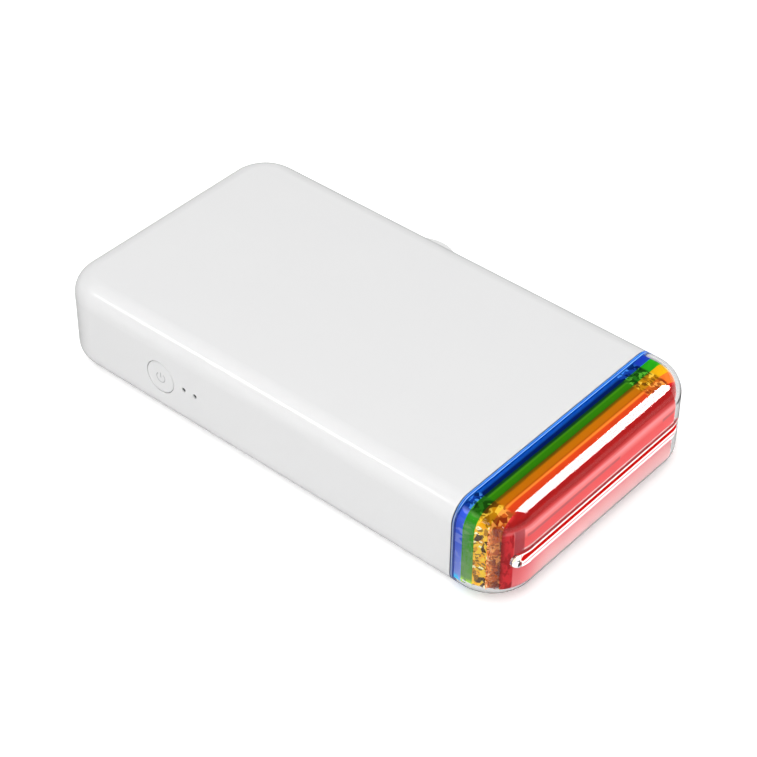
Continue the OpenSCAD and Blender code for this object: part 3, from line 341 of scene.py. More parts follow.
# Side plates, head bracket and latch: rolled steel sheet, stamped and bent, with the
# rolling lines along it.
sheet_steel = grained("sheet_steel", ((0.52, 0.53, 0.54), (0.68, 0.69, 0.7)), 1300, 0.35,
                      0.002 * mm, (1, 0.06, 1), metallic=1.0)
sheet_steel.on("left_side_plate", "right_side_plate", "head_bracket", "door_latch")

# Charging port: a drawn steel shell soldered to the main board, with a black tongue and
# a black carrier inside it.
port_wall = 0.35 * mm
port = grained("port_steel", ((0.55, 0.56, 0.57), (0.7, 0.71, 0.72)), 2200, 0.25, 0.001 * mm,
               metallic=1.0)
port_low, port_high = (Vector(corner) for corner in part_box("usb_port"))
port_middle, port_half = (port_low + port_high) / 2, (port_high - port_low) / 2
in_port = (abs(port.across("X") - port_middle.x) < port_half.x - port_wall) * (
    abs(port.across("Z") - port_middle.z) < port_half.z - port_wall)
port.inlay((0.03, 0.03, 0.032), in_port)
port.on("usb_port")

# Gears, spools and the reset plunger: natural nylon, a little creamy and waxy. The motor's
# pinion is cut from brass and pressed on its shaft.
nylon = grained("gear_nylon", ((0.77, 0.76, 0.68), (0.86, 0.85, 0.79)), 1600, 0.45, 0.004 * mm)
nylon.on("platen_gear", "capstan_gear", "front_idler", "rear_idler", "pick_gear", "take_up_gear",
         "take_up_spool", "supply_spool", "reset_plunger")
brass = grained("pinion_brass", ((0.76, 0.53, 0.19), (0.86, 0.63, 0.27)), 2200, 0.28, 0.001 * mm,
                (1, 0.1, 0.1), metallic=1.0)
brass.on("motor_pinion")

# Feed motor: a drawn steel can with a bearing boss at each end, held by the left plate.
# The end away from the pinion is a dark moulded cap.
end_cap_length = 2.6 * mm
can = grained("motor_can", ((0.58, 0.58, 0.56), (0.7, 0.7, 0.68)), 1500, 0.3, 0.002 * mm,
              (0.1, 1, 1), metallic=1.0)
motor_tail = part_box("feed_motor")[1][0]
can.inlay((0.025, 0.025, 0.027), can.across("X") > motor_tail - end_cap_length)
can.on("feed_motor")

# Cartridge and switches: black polystyrene with a fine mould texture. The cartridge holds
# the sheets and both rolls of film, and the switches are soldered to their boards.
cartridge_black = grained("black_moulding", ((0.018, 0.018, 0.02), (0.04, 0.04, 0.043)), 2600, 0.42,
                          0.012 * mm)
cartridge_black.on("cartridge_case")
switch_black = grained("switch_black", ((0.02, 0.02, 0.022), (0.035, 0.035, 0.037)), 2200, 0.35,
                       0.004 * mm)
switch_black.on("power_switch", "reset_switch")

# Boards: glass-fibre laminate under green solder mask, with copper tracks under it, gold
# pads, black chips on the main board and two pale lamps on the side board.
laminate = 1.05 * mm
chip_tones = ((0.015, 0.015, 0.016), (0.03, 0.03, 0.03))
lamp_tones = ((0.75, 0.72, 0.5), (0.85, 0.83, 0.62))
for name, tones, grain in (("main_board", chip_tones, 2500), ("side_board", lamp_tones, 1200)):
    mask = grained(name + "_mask", ((0.008, 0.085, 0.04), (0.012, 0.11, 0.055)), 1500, 0.3,
                   0.001 * mm)
    low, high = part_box(name)
    spot = mask.place()
    lines = mask.node(
        "ShaderNodeTexWave", {"wave_type": "BANDS", "bands_direction": "DIAGONAL"},
        {"Vector": spot, "Scale": 240.0, "Distortion": 2.5, "Detail": 1.0, "Detail Scale": 0.6}, 1)
    copper = lines.step(0.66, 0.74) * mask.noise(90, 1).step(0.48, 0.5)
    dots = mask.node("ShaderNodeTexVoronoi", None,
                     {"Vector": spot, "Scale": 420.0, "Randomness": 0.55})
    pads = (dots < 0.16) * mask.noise(150, 1).step(0.56, 0.57)
    surface = mask.blend(mask.blend(mask.tone, (0.03, 0.22, 0.1), copper), (0.75, 0.55, 0.2), pads)
    if name == "main_board":
        raised = mask.across("Z") > low[2] + laminate
    else:
        raised = mask.across("X") < high[0] - laminate
    mask.feed("Base Color", mask.blend(surface, mask.blend(*tones, mask.noise(grain)), raised))
    mask.feed("Metallic", pads * (1.0 - raised))
    mask.bump(copper + pads, 0.03 * mm)
    mask.on(name)

# Battery: a lithium pouch cell in silvery foil, pressed flat, with amber tape over its front
# seam. It lies on the deck, held by two strips of adhesive.
tape_width = 4.5 * mm
foil = grained("cell_foil", ((0.52, 0.52, 0.54), (0.66, 0.66, 0.68)), 500, 0.33, 0.03 * mm,
               metallic=1.0)
seam_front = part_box("battery")[0][1]
tape = foil.blend((0.5, 0.2, 0.02), (0.62, 0.28, 0.04), foil.noise(800))
foil.inlay(tape, foil.across("Y") < seam_front + tape_width)
foil.on("battery")

# Photo sheets: coated card, glossy on its print side, stacked in the cartridge, where the
# edges of the sheets show as fine lines.
sheets = Finish("photo_sheets", roughness=0.25, coat_weight=0.3)
edges = sheets.noise(6000, 0, (0, 0, 1))
sheets.feed("Base Color", sheets.blend(
    (0.72, 0.72, 0.7), (0.87, 0.87, 0.86), edges.step(0.35, 0.55)))
sheets.feed("Roughness", sheets.noise(500).step(0.3, 0.7, 0.2, 0.3))
sheets.bump(edges, 0.01 * mm)
sheets.on("photo_paper")

# Dye film: thin polyester with the dyes in panels along it, one after the other, and a dark
# mark between two panels for the sensor.
yellow_dye, red_dye, mark_black = (0.62, 0.46, 0.02), (0.55, 0.04, 0.22), (0.02, 0.02, 0.02)
film = grained("dye_film", ((0.9, 0.9, 0.9), (1.0, 1.0, 1.0)), 900, 0.2, 0.004 * mm, (0.2, 1, 1))
film_low, film_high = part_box("ribbon_film")
along_film = (film.across("Y") - film_low[1]) / (film_high[1] - film_low[1])
panels = film.ramp(along_film, (0.0, yellow_dye), (0.36, yellow_dye), (0.37, mark_black),
                   (0.4, mark_black), (0.41, red_dye), (1.0, red_dye))
film.feed("Base Color", film.node("ShaderNodeMix", {"data_type": "RGBA", "blend_type": "MULTIPLY"},
                                  {0: 1.0, 6: film.tone, 7: panels}, 2))
film.on("ribbon_film")

# Print head: an aluminium heat sink, brushed along its length, with the glazed ceramic strip
# of heaters bonded under it.
strip_height = 0.8 * mm
sink = grained("head_aluminium", ((0.58, 0.58, 0.59), (0.72, 0.72, 0.73)), 1800, 0.38, 0.003 * mm,
               (0.05, 1, 1), metallic=1.0)
sink.inlay((0.11, 0.1, 0.09), sink.across("Z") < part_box("print_head")[0][2] + strip_height)
sink.on("print_head")

# Power button: a turned cap in the shell's plastic, with its flange and its stem behind the
# wall. The generic sign, a broken ring and a stroke, is pressed into its face.
button_y, button_z = 36.9 * mm, 12.9 * mm
face_x, face_dip = -41 * mm, 0.12
button_side = ((face_dip, 4.2), (0.0, 4.4), (0.03, 4.55), (0.12, 4.64), (2.0, 4.66), (2.0, 5.6),
               (2.8, 5.6), (2.8, 1.2), (3.88, 1.2))
sign_drop, sign_line, sign_depth = 0.25 * mm, 0.3 * mm, 0.05 * mm
ring_r, ring_start, ring_span, ring_steps = 1.45 * mm, 38, 284, 40
stroke_length = 1.6
sign_shade_x, sign_shade_r = face_x + 0.14 * mm, 3 * mm
tool_reach = 0.5 * mm
crisp_angle = math.radians(30)


def smooth(piece):
    """Shades the curved faces of a piece smooth and keeps its edges crisp."""
    piece.data.polygons.foreach_set("use_smooth", [True] * len(piece.data.polygons))
    piece.data.set_sharp_from_angle(angle=crisp_angle)


def mesh_piece(name, draft, finish=None, body="root"):
    """Turns a bmesh into a piece with smooth faces and crisp edges, on that body."""
    bmesh.ops.recalc_face_normals(draft, faces=draft.faces)
    piece = bpy.data.objects.new(name, bpy.data.meshes.new(name))
    draft.to_mesh(piece.data)
    draft.free()
    smooth(piece)
    bpy.context.scene.collection.objects.link(piece)
    if finish:
        piece.data.materials.append(finish.material)
        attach(piece, body)
    return piece


def carve(piece, operation, draft):
    """Cuts a bmesh out of a piece, or keeps only what both share."""
    tool = mesh_piece(piece.name + "_tool", draft)
    step = piece.modifiers.new("carve", "BOOLEAN")
    step.operation, step.solver, step.object = operation, "EXACT", tool
    bpy.context.view_layer.update()
    carved = bpy.data.meshes.new_from_object(
        piece.evaluated_get(bpy.context.evaluated_depsgraph_get()))
    piece.modifiers.clear()
    piece.data = carved
    bpy.data.objects.remove(tool)
    smooth(piece)


def skinned(draft, rings):
    """Joins each ring of points to the next one and closes both ends."""
    count = len(rings[0])
    for outer, inner in zip(rings, rings[1:]):
        for i in range(count):
            draft.faces.new((outer[i], outer[(i + 1) % count], inner[(i + 1) % count], inner[i]))
    draft.faces.new(rings[0][::-1])
    draft.faces.new(rings[-1])
    return draft


def turned(profile, start, along, across, steps=64):
    """A solid of revolution about a line, through its (distance, radius) points in mm."""
    draft = bmesh.new()
    sideways = along.cross(across)
    spokes = [math.cos(a) * across + math.sin(a) * sideways
              for a in (math.tau * i / steps for i in range(steps))]
    return skinned(draft, [[draft.verts.new(start + d * mm * along + r * mm * spoke)
                            for spoke in spokes] for d, r in profile])


def bent_bar(points, x0, x1, width):
    """A bar of that width through (y, z) points, from x0 to x1."""
    draft = bmesh.new()
    rings = []
    for i, spot in enumerate(points):
        run = points[min(i + 1, len(points) - 1)] - points[max(i - 1, 0)]
        over = Vector((-run.y, run.x)).normalized() * width / 2
        rings.append([draft.verts.new((x, *(spot + side * over)))
                      for x, side in ((x0, 1), (x1, 1), (x1, -1), (x0, -1))])
    return skinned(draft, rings)


button_white = Finish("button_white", roughness=0.22)
button_white.bump(button_white.noise(1500, 1), 0.0006 * mm)
button_tone = button_white.blend(*white_tones, button_white.noise(60, 3))
in_sign = (button_white.across("X") > sign_shade_x) * (
    button_white.reach(Y=button_y, Z=button_z) < sign_shade_r)
button_white.feed("Base Color", button_white.blend(button_tone, (0.5, 0.5, 0.51), in_sign))
button_form = turned(button_side, Vector((face_x, button_y, button_z)), Vector((1, 0, 0)),
                     Vector((0, 1, 0)))
button = mesh_piece("button_cap", button_form, button_white, "button")
sign_centre = Vector((button_y, button_z - sign_drop))
broken_ring = [sign_centre + ring_r * Vector((math.sin(a), math.cos(a)))
               for a in (math.radians(ring_start + ring_span * i / ring_steps)
                         for i in range(ring_steps + 1))]
stroke = [sign_centre, sign_centre + Vector((0, stroke_length)) * mm]
for mark in (broken_ring, stroke):
    carve(button, "DIFFERENCE", bent_bar(
        mark, face_x - tool_reach, face_x + face_dip * mm + sign_depth, sign_line))
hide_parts("power_button")

# Exit frame: the white carrier of the bands and its paper guide, whose nose is painted red
# where it shows in the slot, as painted red light from the bands around it.
nose_rear, nose_front = -66.5 * mm, -67.5 * mm
guide = Finish("guide_white", roughness=0.4)
guide_tone = guide.blend(*matt_tones, guide.noise(2500, 3))
# Painted red light: the white nose is coloured red where it shows in the slot
on_nose = guide.across("Y").step(nose_rear, nose_front)
guide.feed("Base Color", guide.blend(guide_tone, (0.5, 0.006, 0.004), on_nose))
guide.bump(guide.noise(4000, 2), 0.005 * mm)
guide.on("exit_frame")

# Light pipes: two acrylic rods, pressed into the side wall. They end just inside their holes
# and carry the light of the side board's lamps. Their near-black colour is painted shade,
# for the dark in their holes.
pipe_shade = Finish("smoked_clear", roughness=0.3)
pipe_shade.feed("Base Color", pipe_shade.blend(
    (0.006, 0.006, 0.007), (0.012, 0.012, 0.013), pipe_shade.noise(900)))
pipe_shade.on("light_pipes")

# Coloured bands: five tinted plates stacked behind the clear cap, each moulded to the
# cap's inside, with the print slot cut through all of them.
half_w, half_l, case_bottom, case_top = 40 * mm, 75 * mm, 0.6 * mm, 27 * mm
corner_r, top_r, bottom_r = 12 * mm, 6 * mm, 5 * mm
middle_x, front_y, seam_y = -1 * mm, -half_l, -59.6 * mm
cap_wall, band_inset = 1.2 * mm, 1.17 * mm
slot_w, slot_h, slot_z = 60 * mm, 2.6 * mm, 13.3 * mm
collar_w, collar_h, collar_z, collar_depth = 68 * mm, 4.3 * mm, 12.8 * mm, 2.4 * mm
collar_y = front_y + collar_depth
collar_play = 0.1 * mm
past = 1 * mm


def case_form(inset, y0, y1, turns=12):
    """The case's outer form moved inward by inset, kept between y0 and y1."""
    rc, rt, rb = corner_r - inset, top_r - inset, bottom_r - inset
    profile = [(rt * (1 - math.cos(a)), case_top - inset - rt * (1 - math.sin(a)))
               for a in (math.radians(90 * i / turns) for i in range(turns, -1, -1))]
    profile += [(rb * (1 - math.cos(a)), case_bottom + inset + rb * (1 - math.sin(a)))
                for a in (math.radians(90 * i / turns) for i in range(turns + 1))]
    outline = []
    for sx, sy, start in ((1, 1, 0), (-1, 1, 90), (-1, -1, 180), (1, -1, 270)):
        for i in range(turns * 2 + 1):
            angle = math.radians(start + 90 * i / (turns * 2))
            outline.append((middle_x + sx * (half_w - corner_r), sy * (half_l - corner_r),
                            math.cos(angle), math.sin(angle)))
    draft = bmesh.new()
    rows = [[draft.verts.new((x + (rc - d) * c, y + (rc - d) * s, z)) for x, y, c, s in outline]
            for d, z in profile]
    count = len(outline)
    for upper, lower in zip(rows, rows[1:]):
        for i in range(count):
            draft.faces.new((upper[i], lower[i], lower[(i + 1) % count], upper[(i + 1) % count]))
    draft.faces.new(rows[0])
    draft.faces.new(rows[-1][::-1])
    for y, side in ((y0, -1), (y1, 1)):
        if abs(y) < half_l:
            cut = bmesh.ops.bisect_plane(
                draft, geom=draft.verts[:] + draft.edges[:] + draft.faces[:],
                plane_co=(0, y, 0), plane_no=(0, side, 0), clear_outer=True)
            rim = [e for e in cut["geom_cut"] if isinstance(e, bmesh.types.BMEdge)]
            bmesh.ops.edgeloop_fill(draft, edges=rim)
    return draft


def slot_bar(rings_at, turns=10):
    """A flat bar with round ends along the print slot, through rings at (y, width, height,
    height of its middle)."""
    draft = bmesh.new()
    rings = []
    for y, width, height, middle_z in rings_at:
        ring = []
        for side, start in ((1, -90), (-1, 90)):
            for i in range(turns + 1):
                angle = math.radians(start + 180 * i / turns)
                ring.append(draft.verts.new((
                    middle_x + side * (width - height) / 2 + height / 2 * math.cos(angle), y,
                    middle_z + height / 2 * math.sin(angle))))
        rings.append(ring)
    return skinned(draft, rings)


def even_bar(y0, y1, *section):
    """A slot bar of one width, height and middle height from y0 to y1."""
    return slot_bar(((y0, *section), (y1, *section)))


# Where each band ends at the rear and at the front, in mm
bands = {
    "blue": (-57.6, -62.5),
    "green": (-62.5, -65.5),
    "yellow": (-65.5, -68.4),
    "orange": (-68.4, -70.9),
    "red": (-70.9, -75.0),
}
# Colours from the band's rear edge to its front edge, as the top shows them: the band's own
# tone with painted highlight lines and painted dark lines along its edges, and a painted dark
# reflection over most of the red top
band_tops = {
    "blue": ((0.0, (0.01, 0.16, 0.9)), (0.3, (0.0, 0.08, 0.5)), (0.5, (0.005, 0.075, 0.42)),
             (0.7, (0.0, 0.011, 0.09)), (1.0, (0.0, 0.01, 0.1))),
    "green": ((0.0, (0.004, 0.03, 0.015)), (0.2, (0.008, 0.06, 0.012)),
              (0.36, (0.05, 0.26, 0.006)), (0.5, (0.026, 0.185, 0.002)),
              (0.9, (0.024, 0.17, 0.002)), (1.0, (0.03, 0.08, 0.002))),
    "yellow": ((0.0, (0.1, 0.06, 0.002)), (0.18, (0.16, 0.08, 0.002)), (0.36, (0.48, 0.145, 0.002)),
               (0.85, (0.48, 0.138, 0.002)), (1.0, (0.36, 0.085, 0.002))),
    "orange": ((0.0, (0.5, 0.09, 0.006)), (0.2, (0.88, 0.26, 0.03)), (0.36, (0.6, 0.054, 0.01)),
               (0.75, (0.56, 0.045, 0.01)), (1.0, (0.44, 0.07, 0.018))),
    "red": ((0.0, (0.6, 0.05, 0.02)), (0.25, (0.29, 0.008, 0.008)), (1.0, (0.27, 0.008, 0.008))),
}
# For each band: its clean end, three tones of its crease pattern (a painted shade, a middle
# tone and a painted glint), and its side from top to bottom
band_ends = {
    "blue": ((0.013, 0.045, 0.456), (0.0, 0.01, 0.07), (0.008, 0.05, 0.38), (0.06, 0.3, 0.9),
             (0.05, 0.13, 0.8), (0.36, 0.46, 1.0)),
    "green": ((0.02, 0.35, 0.008), (0.003, 0.03, 0.003), (0.015, 0.14, 0.008), (0.09, 0.45, 0.03),
              (0.05, 0.4, 0.02), (0.22, 0.5, 0.12)),
    "yellow": ((0.7, 0.36, 0.005), (0.07, 0.03, 0.002), (0.5, 0.22, 0.004), (0.85, 0.58, 0.05),
               (0.85, 0.42, 0.01), (0.95, 0.6, 0.03)),
    "orange": ((0.83, 0.15, 0.02), (0.14, 0.02, 0.003), (0.5, 0.1, 0.012), (0.85, 0.35, 0.06),
               (0.8, 0.2, 0.03), (0.95, 0.42, 0.12)),
    "red": ((0.58, 0.008, 0.014), (0.12, 0.004, 0.004), (0.4, 0.01, 0.012), (0.8, 0.05, 0.05),
            (0.5, 0.01, 0.015), (0.8, 0.12, 0.12)),
}
# The ends: how deep their facets go, how bright their painted glow is, and the painted
# glints at their foot
crumpled = {"yellow": 0.45 * mm, "orange": 0.3 * mm, "green": 0.12 * mm}
side_glow = {"blue": 0.2, "green": 0.08, "yellow": 0.34, "orange": 0.4, "red": 0.5}
foot_glint = {"blue": (0.06, 0.62, 1.0), "green": (0.55, 0.95, 0.03), "red": (0.85, 0.1, 0.1)}
ends_from, height_pitch, depth_pitch = 32.5 * mm, 0.9 * mm, 0.75 * mm
shift_below, lift_from, lift_below = case_top - 3 * mm, case_bottom + 4 * mm, case_top - 4 * mm
rim_gap, rim_x, rim_y, rim_z = 0.2 * mm, 29 * mm, -71 * mm, case_bottom + 3.5 * mm
shake = random.Random(7)


def crumple(draft, y0, y1, depth):
    """Breaks a band's two ends into small facets, pushed inward by up to depth."""
    def end_faces():
        return [f for f in draft.faces if abs(f.calc_center_median().x - middle_x) > ends_from]

    centre = Vector((middle_x, (y0 + y1) / 2, (case_bottom + case_top) / 2))
    for axis, low, high, pitch in ((2, case_bottom, case_top, height_pitch),
                                   (1, y0, y1, depth_pitch)):
        spot = low + pitch
        while spot < high - 0.4 * pitch:
            level = centre.copy()
            level[axis] = spot + shake.uniform(-0.25, 0.25) * pitch
            lean = Vector((0, shake.uniform(-0.25, 0.25), shake.uniform(-0.25, 0.25)))
            lean[axis] = 1
            ends = end_faces()
            parts = list({g for f in ends for g in (*f.verts, *f.edges)}) + ends
            bmesh.ops.bisect_plane(draft, geom=parts, plane_co=level, plane_no=lean)
            spot += pitch
    bmesh.ops.triangulate(draft, faces=[f for f in end_faces() if abs(f.normal.y) < 0.9])
    for vert in draft.verts:
        off = vert.co.x - middle_x
        if abs(off) > ends_from and y0 + 0.1 * mm < vert.co.y < y1 - 0.1 * mm:
            vert.co.x -= math.copysign(shake.uniform(0, depth), off) * (vert.co.z < shift_below)
            vert.co.z += shake.uniform(-0.15, 0.15) * mm * (lift_from < vert.co.z < lift_below)


for name, (y1, y0) in bands.items():
    rear, front = min(y1 * mm, seam_y), max(y0 * mm, front_y + band_inset)
    # Each band's finish: its own tint, with painted light and shade laid into it
    tint_and_light = Finish(name + "_tint", roughness=0.1, specular_ior_level=0.0)
    along_y = (rear - tint_and_light.across("Y")) / (rear - front)
    height = tint_and_light.across("Z")
    sideways = tint_and_light.across("X") - middle_x
    leftward, outward = sideways * -1.0, abs(sideways)
    streaks = tint_and_light.noise(900, 2, (0.05, 1, 1))
    skin = tint_and_light.ramp(along_y + (streaks - 0.5) * 0.08, *band_tops[name])

    # Creases over both ends of the top, in painted shade and painted glints, with the clean end
    # of the plate on the right
    clean, dark, middle, bright, side_high, side_low = band_ends[name]
    wander = tint_and_light.node("ShaderNodeVectorMath", {"operation": "SCALE"},
                       {0: tint_and_light.noise(700, 1, out="Color"), "Scale": 0.8 * mm})
    spot = tint_and_light.node("ShaderNodeVectorMath", {"operation": "ADD"}, {0: tint_and_light.place(), 1: wander})
    folds = tint_and_light.cells(spot, 750.0, (1, 1.2, 0.8))
    glints = tint_and_light.cells(spot, 1800.0, (1, 0.6, 1))
    crease_shade_and_glints = tint_and_light.ramp(folds, (0.0, dark), (0.32, dark), (0.42, middle), (0.68, middle),
                        (0.8, bright), (0.9, bright))
    # Painted shade: dark specks in the creases
    crease_shade_and_glints = tint_and_light.blend(crease_shade_and_glints, dark, (glints < 0.25) * 0.8)
    skin = tint_and_light.blend(skin, crease_shade_and_glints, sideways.step(23 * mm, 24 * mm) * 0.85)
    skin = tint_and_light.blend(skin, clean, sideways.step(30.4 * mm, 31.2 * mm))
    skin = tint_and_light.blend(skin, crease_shade_and_glints, leftward.step(31 * mm, 32 * mm) * 0.8)

    # Left side, broken most in the yellow and orange bands, whose facets carry painted shade and
    # painted glints; the other bands run paler towards the foot, with painted glints there
    if name == "yellow":
        side = tint_and_light.ramp(folds, (0.08, dark), (0.16, middle), (0.32, middle), (0.4, side_high),
                         (0.62, side_high), (0.7, side_low), (0.95, side_low))
        side = tint_and_light.blend(side, dark, (glints < 0.2) * 0.75)
        # Painted glints: a few near-white facets
        side = tint_and_light.blend(side, (1.0, 0.97, 0.65), glints > 0.93)
    elif name == "orange":
        hatch = tint_and_light.blend(tint_and_light.noise(2600, 1, (1, 0.2, 1)), tint_and_light.noise(2600, 1, (1, 1, 0.2)),
                           folds > 0.6)
        side = tint_and_light.ramp(hatch, (0.32, dark), (0.4, middle), (0.48, side_high), (0.62, side_low),
                         (0.68, (1.0, 0.85, 0.45)))
    else:
        patch = tint_and_light.noise(500, 1, (1, 0.5, 1)).step(0.42, 0.5)
        side = tint_and_light.blend(side_low, side_high, height.step(3 * mm, 20 * mm) * (patch * 0.5 + 0.5))
        # Painted glints near the foot of the side
        side = tint_and_light.blend(side, foot_glint[name], (folds > 0.45) * height.step(6.5 * mm, 4.5 * mm))
    skin = tint_and_light.blend(skin, side, leftward.step(36 * mm, 37.5 * mm))

    # Front of the red band: paler towards its foot, a painted reflection of the pale table, and
    # darker under its top, painted shade, with painted dark and pale lines that its edges, the
    # slot and its creased ends draw
    if name == "red":
        front_tone = tint_and_light.ramp(
            (height + (streaks - 0.5) * 0.8 * mm) / (case_top - case_bottom),
            (0.0, (0.8, 0.68, 0.67)), (0.12, (0.86, 0.66, 0.65)), (0.2, (0.97, 0.6, 0.6)),
            (0.35, (0.95, 0.42, 0.43)), (0.58, (0.97, 0.14, 0.15)), (0.72, (0.9, 0.12, 0.12)),
            (0.81, (0.93, 0.33, 0.33)), (0.84, (0.6, 0.06, 0.06)), (0.87, (0.33, 0.012, 0.012)))
        # Painted dark streaks across the front
        dashes = height.between((19 * mm, 19.3 * mm), (19.9 * mm, 20.2 * mm)) * (
            tint_and_light.noise(40, 0, (1, 0, 0)) > 0.47)
        front_tone = tint_and_light.blend(front_tone, (0.55, 0.13, 0.14), dashes * 0.8)
        # Painted shade line and painted highlight line just above the slot
        by_slot = outward < 31 * mm
        dark_line = height.between((14.95 * mm, 15 * mm), (15.3 * mm, 15.4 * mm)) * by_slot
        front_tone = tint_and_light.blend(front_tone, (0.35, 0.06, 0.06), dark_line)
        pale_line = height.between((15.4 * mm, 15.5 * mm), (15.9 * mm, 16.1 * mm)) * by_slot
        front_tone = tint_and_light.blend(front_tone, (1.0, 0.7, 0.7), pale_line)
        low_left = leftward.step(20 * mm, 33 * mm) * height.step(16 * mm, 12 * mm)
        front_tone = tint_and_light.blend(front_tone, (0.9, 0.1, 0.12), low_left * 0.75)
        # Painted dark panel: the end of the slot seen through the cap, as a painted refraction
        left_panel = leftward.between((30.2 * mm, 30.6 * mm), (32.7 * mm, 33 * mm)) * (
            height.between((12 * mm, 12.4 * mm), (21.5 * mm, 22.5 * mm)))
        front_tone = tint_and_light.blend(front_tone, (0.42, 0.05, 0.065), left_panel * 0.85)
        # Painted shade along the creases of the crumpled corner
        crease_shade_lines = tint_and_light.noise(700, 2, (1, 1, 0.5)).step(0.5, 0.62)
        corner_tone = tint_and_light.blend((0.78, 0.03, 0.04), (0.5, 0.008, 0.015), crease_shade_lines)
        in_corner = outward.step(32.8 * mm, 33.1 * mm) * height.step(22.5 * mm, 21 * mm)
        front_tone = tint_and_light.blend(front_tone, corner_tone, in_corner)
        on_front = tint_and_light.across("Y").step(front + 3.2 * mm, front + 2.0 * mm)
        skin = tint_and_light.blend(skin, front_tone, on_front)
    tint_and_light.feed("Base Color", skin)

    # Painted glow: emission for the light that the cap gathers in the bands, most on the left side
    side_light = height.step(6.5 * mm, 4.5 * mm) * 0.35 + side_glow[name]
    glow = (leftward.step(35 * mm, 37.5 * mm) * side_light).most(
        height.step(13 * mm, 7 * mm) * 0.08)
    tint_and_light.feed("Emission Color", tint_and_light.blend((0.0, 0.0, 0.0), skin, glow))
    tint_and_light.feed("Emission Strength", 1.0)

    # The plate, whose far end and foot stand back a little from the cap
    draft = case_form(band_inset, y0 * mm, rear)
    for vert in draft.verts:
        vert.co.x -= rim_gap * (vert.co.x > rim_x)
        vert.co.y += rim_gap * (vert.co.x > rim_x) * (vert.co.y < rim_y)
        vert.co.z += rim_gap * (vert.co.z < rim_z)
    if name in crumpled:
        crumple(draft, front, rear, crumpled[name])
    band = mesh_piece("band_" + name, draft, tint_and_light)
    carve(band, "DIFFERENCE", even_bar(y0 * mm - past, y1 * mm + past, slot_w, slot_h, slot_z))
    carve(band, "DIFFERENCE", even_bar(
        front_y - past, collar_y + collar_play, collar_w + 2 * collar_play,
        collar_h + 2 * collar_play, collar_z))
    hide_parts("stripe_" + name)

# Seam ring: the blue rim of the cap, flush with the white shell, with two pale lines painted
# as highlights where its edges catch the light.
ring_depth, ring_inset, ring_inner = 0.9 * mm, 0.03 * mm, 1.1 * mm
seam_gap = 0.01 * mm
ring_ink = Finish("seam_blue", roughness=0.15, specular_ior_level=0.3)
forward = (seam_y - ring_ink.across("Y")) / ring_depth
# Painted highlights: the two pale lines in these ramps, between darker blue
lines_above = ring_ink.ramp(
    forward, (0.1, (0.0, 0.005, 0.07)), (0.2, (0.1, 0.42, 1.0)), (0.32, (0.1, 0.42, 1.0)),
    (0.42, (0.0, 0.07, 0.55)), (0.64, (0.0, 0.07, 0.55)), (0.74, (0.25, 0.58, 1.0)),
    (0.88, (0.25, 0.58, 1.0)), (1.0, (0.0, 0.08, 0.48)))
lines_beside = ring_ink.ramp(
    forward, (0.12, (0.0, 0.01, 0.08)), (0.24, (0.02, 0.12, 0.6)), (0.34, (0.5, 0.66, 1.0)),
    (0.62, (0.6, 0.75, 1.0)), (0.74, (0.03, 0.1, 0.55)), (1.0, (0.03, 0.08, 0.5)))
beside = abs(ring_ink.across("X") - middle_x).step(37.5 * mm, 39.5 * mm)
ring_ink.feed("Base Color", ring_ink.blend(lines_above, lines_beside, beside))
ring_ink.bump(ring_ink.noise(2000), 0.001 * mm)
seam_ring = mesh_piece(
    "seam_ring", case_form(ring_inset, seam_y - ring_depth, seam_y - seam_gap), ring_ink)
carve(seam_ring, "DIFFERENCE", case_form(ring_inner, seam_y - ring_depth - past, seam_y + past))

# Clear cap: a polished acrylic moulding over the bands, open towards the shell and cut away
# at the slot, where its own collar is the slot lip below.
clear = Finish("clear_acrylic", roughness=0.0, transmission_weight=1.0, ior=1.49)
clear.feed("Base Color", clear.blend((0.96, 0.965, 0.97), (0.98, 0.985, 0.99), clear.noise(120, 1)))
cap = mesh_piece("clear_cap", case_form(0, front_y - past, seam_y), clear)
carve(cap, "DIFFERENCE", case_form(cap_wall, front_y, seam_y + past))
carve(cap, "DIFFERENCE", even_bar(front_y - past, collar_y, collar_w, collar_h, collar_z))
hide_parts("end_cap")

# Slot lip: the flared collar of the same moulding, painted opaque instead of clear. Its slopes
# are painted white for their reflections, with painted dark and gold glints at the ends, a
# painted dark line on the lower slope, painted pink and red where the red band shows through,
# and a painted glow over it all.
mouth_w, mouth_h, mouth_z, mouth_depth = 66.5 * mm, 3.35 * mm, 12.675 * mm, 0.6 * mm
throat_w, throat_h, throat_z = 63.2 * mm, 2.35 * mm, 13.175 * mm
surface_depth = 0.02 * mm
under_mouth, over_throat = 11.0 * mm, 14.85 * mm
throat_reach, throat_top = 31.8 * mm, 14.7 * mm
gleam = Finish("polished_lip", roughness=0.1)
level, depth_y = gleam.across("Z"), gleam.across("Y")
outward = abs(gleam.across("X") - middle_x)
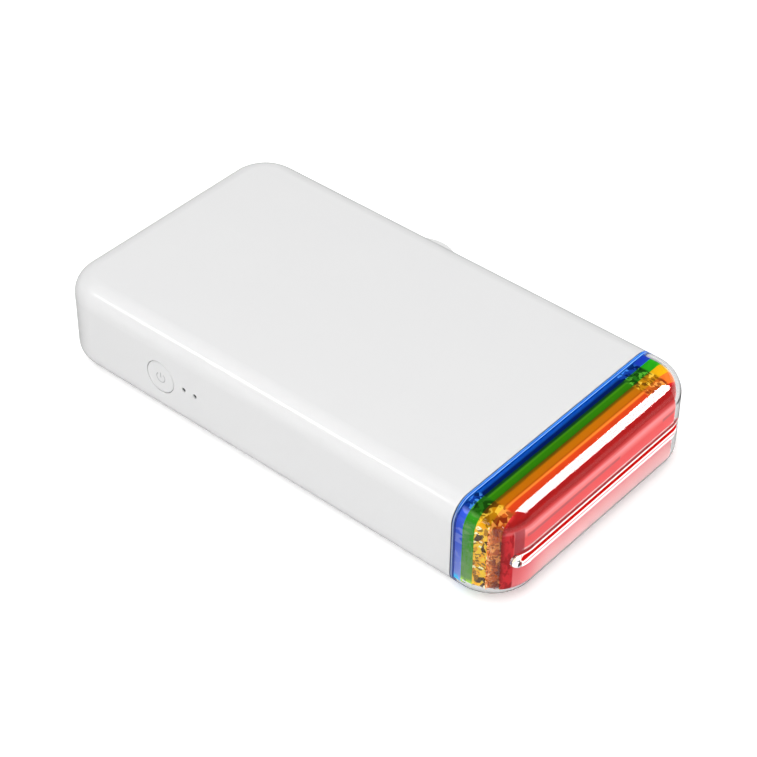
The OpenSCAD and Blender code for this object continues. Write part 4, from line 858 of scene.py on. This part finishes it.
# Painted glints: dark and bright facets at the ends of the lip
facets = gleam.ramp(
    gleam.cells(gleam.place(), 900.0), (0.0, (0.02, 0.02, 0.02)), (0.24, (0.03, 0.03, 0.03)),
    (0.27, (0.4, 0.38, 0.38)), (0.4, (0.5, 0.48, 0.48)), (0.43, (0.95, 0.95, 0.95)),
    (0.82, (0.95, 0.95, 0.95)), (0.85, (0.9, 0.72, 0.3)), (1.0, (0.95, 0.95, 0.95)))
# Painted dark line along the lower slope
painted_dark_line = level.between((11.32 * mm, 11.38 * mm), (11.6 * mm, 11.66 * mm))
outside = depth_y < front_y + surface_depth
above = (level > over_throat) * (1.0 - outside)
inside = (depth_y > front_y + mouth_depth - surface_depth) * (outward < throat_reach) * (
    level < throat_top)
# Painted colours: white reflections, with pink and red where the red band shows through
lip_tone = gleam.blend((0.97, 0.96, 0.96), (0.6, 0.2, 0.22), painted_dark_line * 0.8)
lip_tone = gleam.blend(lip_tone, (0.97, 0.46, 0.48), (level < under_mouth) * outside)
lip_tone = gleam.blend(lip_tone, facets, outward.step(31.2 * mm, 31.6 * mm))
lip_tone = gleam.blend(lip_tone, (0.6, 0.03, 0.035), above)
lip_tone = gleam.blend(lip_tone, (0.52, 0.007, 0.005), inside)
gleam.feed("Base Color", lip_tone)
# Painted glow: emission over the whole lip, strongest inside the throat and above it
lip_glow = inside.most(above * 0.5) * 0.4 + 0.2
gleam.feed("Emission Color", gleam.blend((0.0, 0.0, 0.0), lip_tone, lip_glow))
gleam.feed("Emission Strength", 1.0)
lip = mesh_piece("slot_lip", case_form(0, front_y - past, collar_y), gleam)
carve(lip, "INTERSECT", even_bar(front_y - past, collar_y + past, collar_w, collar_h, collar_z))
flare = [mouth + past / mouth_depth * (mouth - throat) for mouth, throat in (
    (mouth_w, throat_w), (mouth_h, throat_h), (mouth_z, throat_z))]
carve(lip, "DIFFERENCE", slot_bar((
    (front_y - past, *flare), (front_y + mouth_depth, throat_w, throat_h, throat_z),
    (collar_y + past, throat_w, throat_h, throat_z))))

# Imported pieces: their curved faces are shaded smooth, and every edge that turns by more
# than 30 degrees stays crisp, as on the moulded and stamped parts.
for piece in nodes.values():
    smooth(piece)
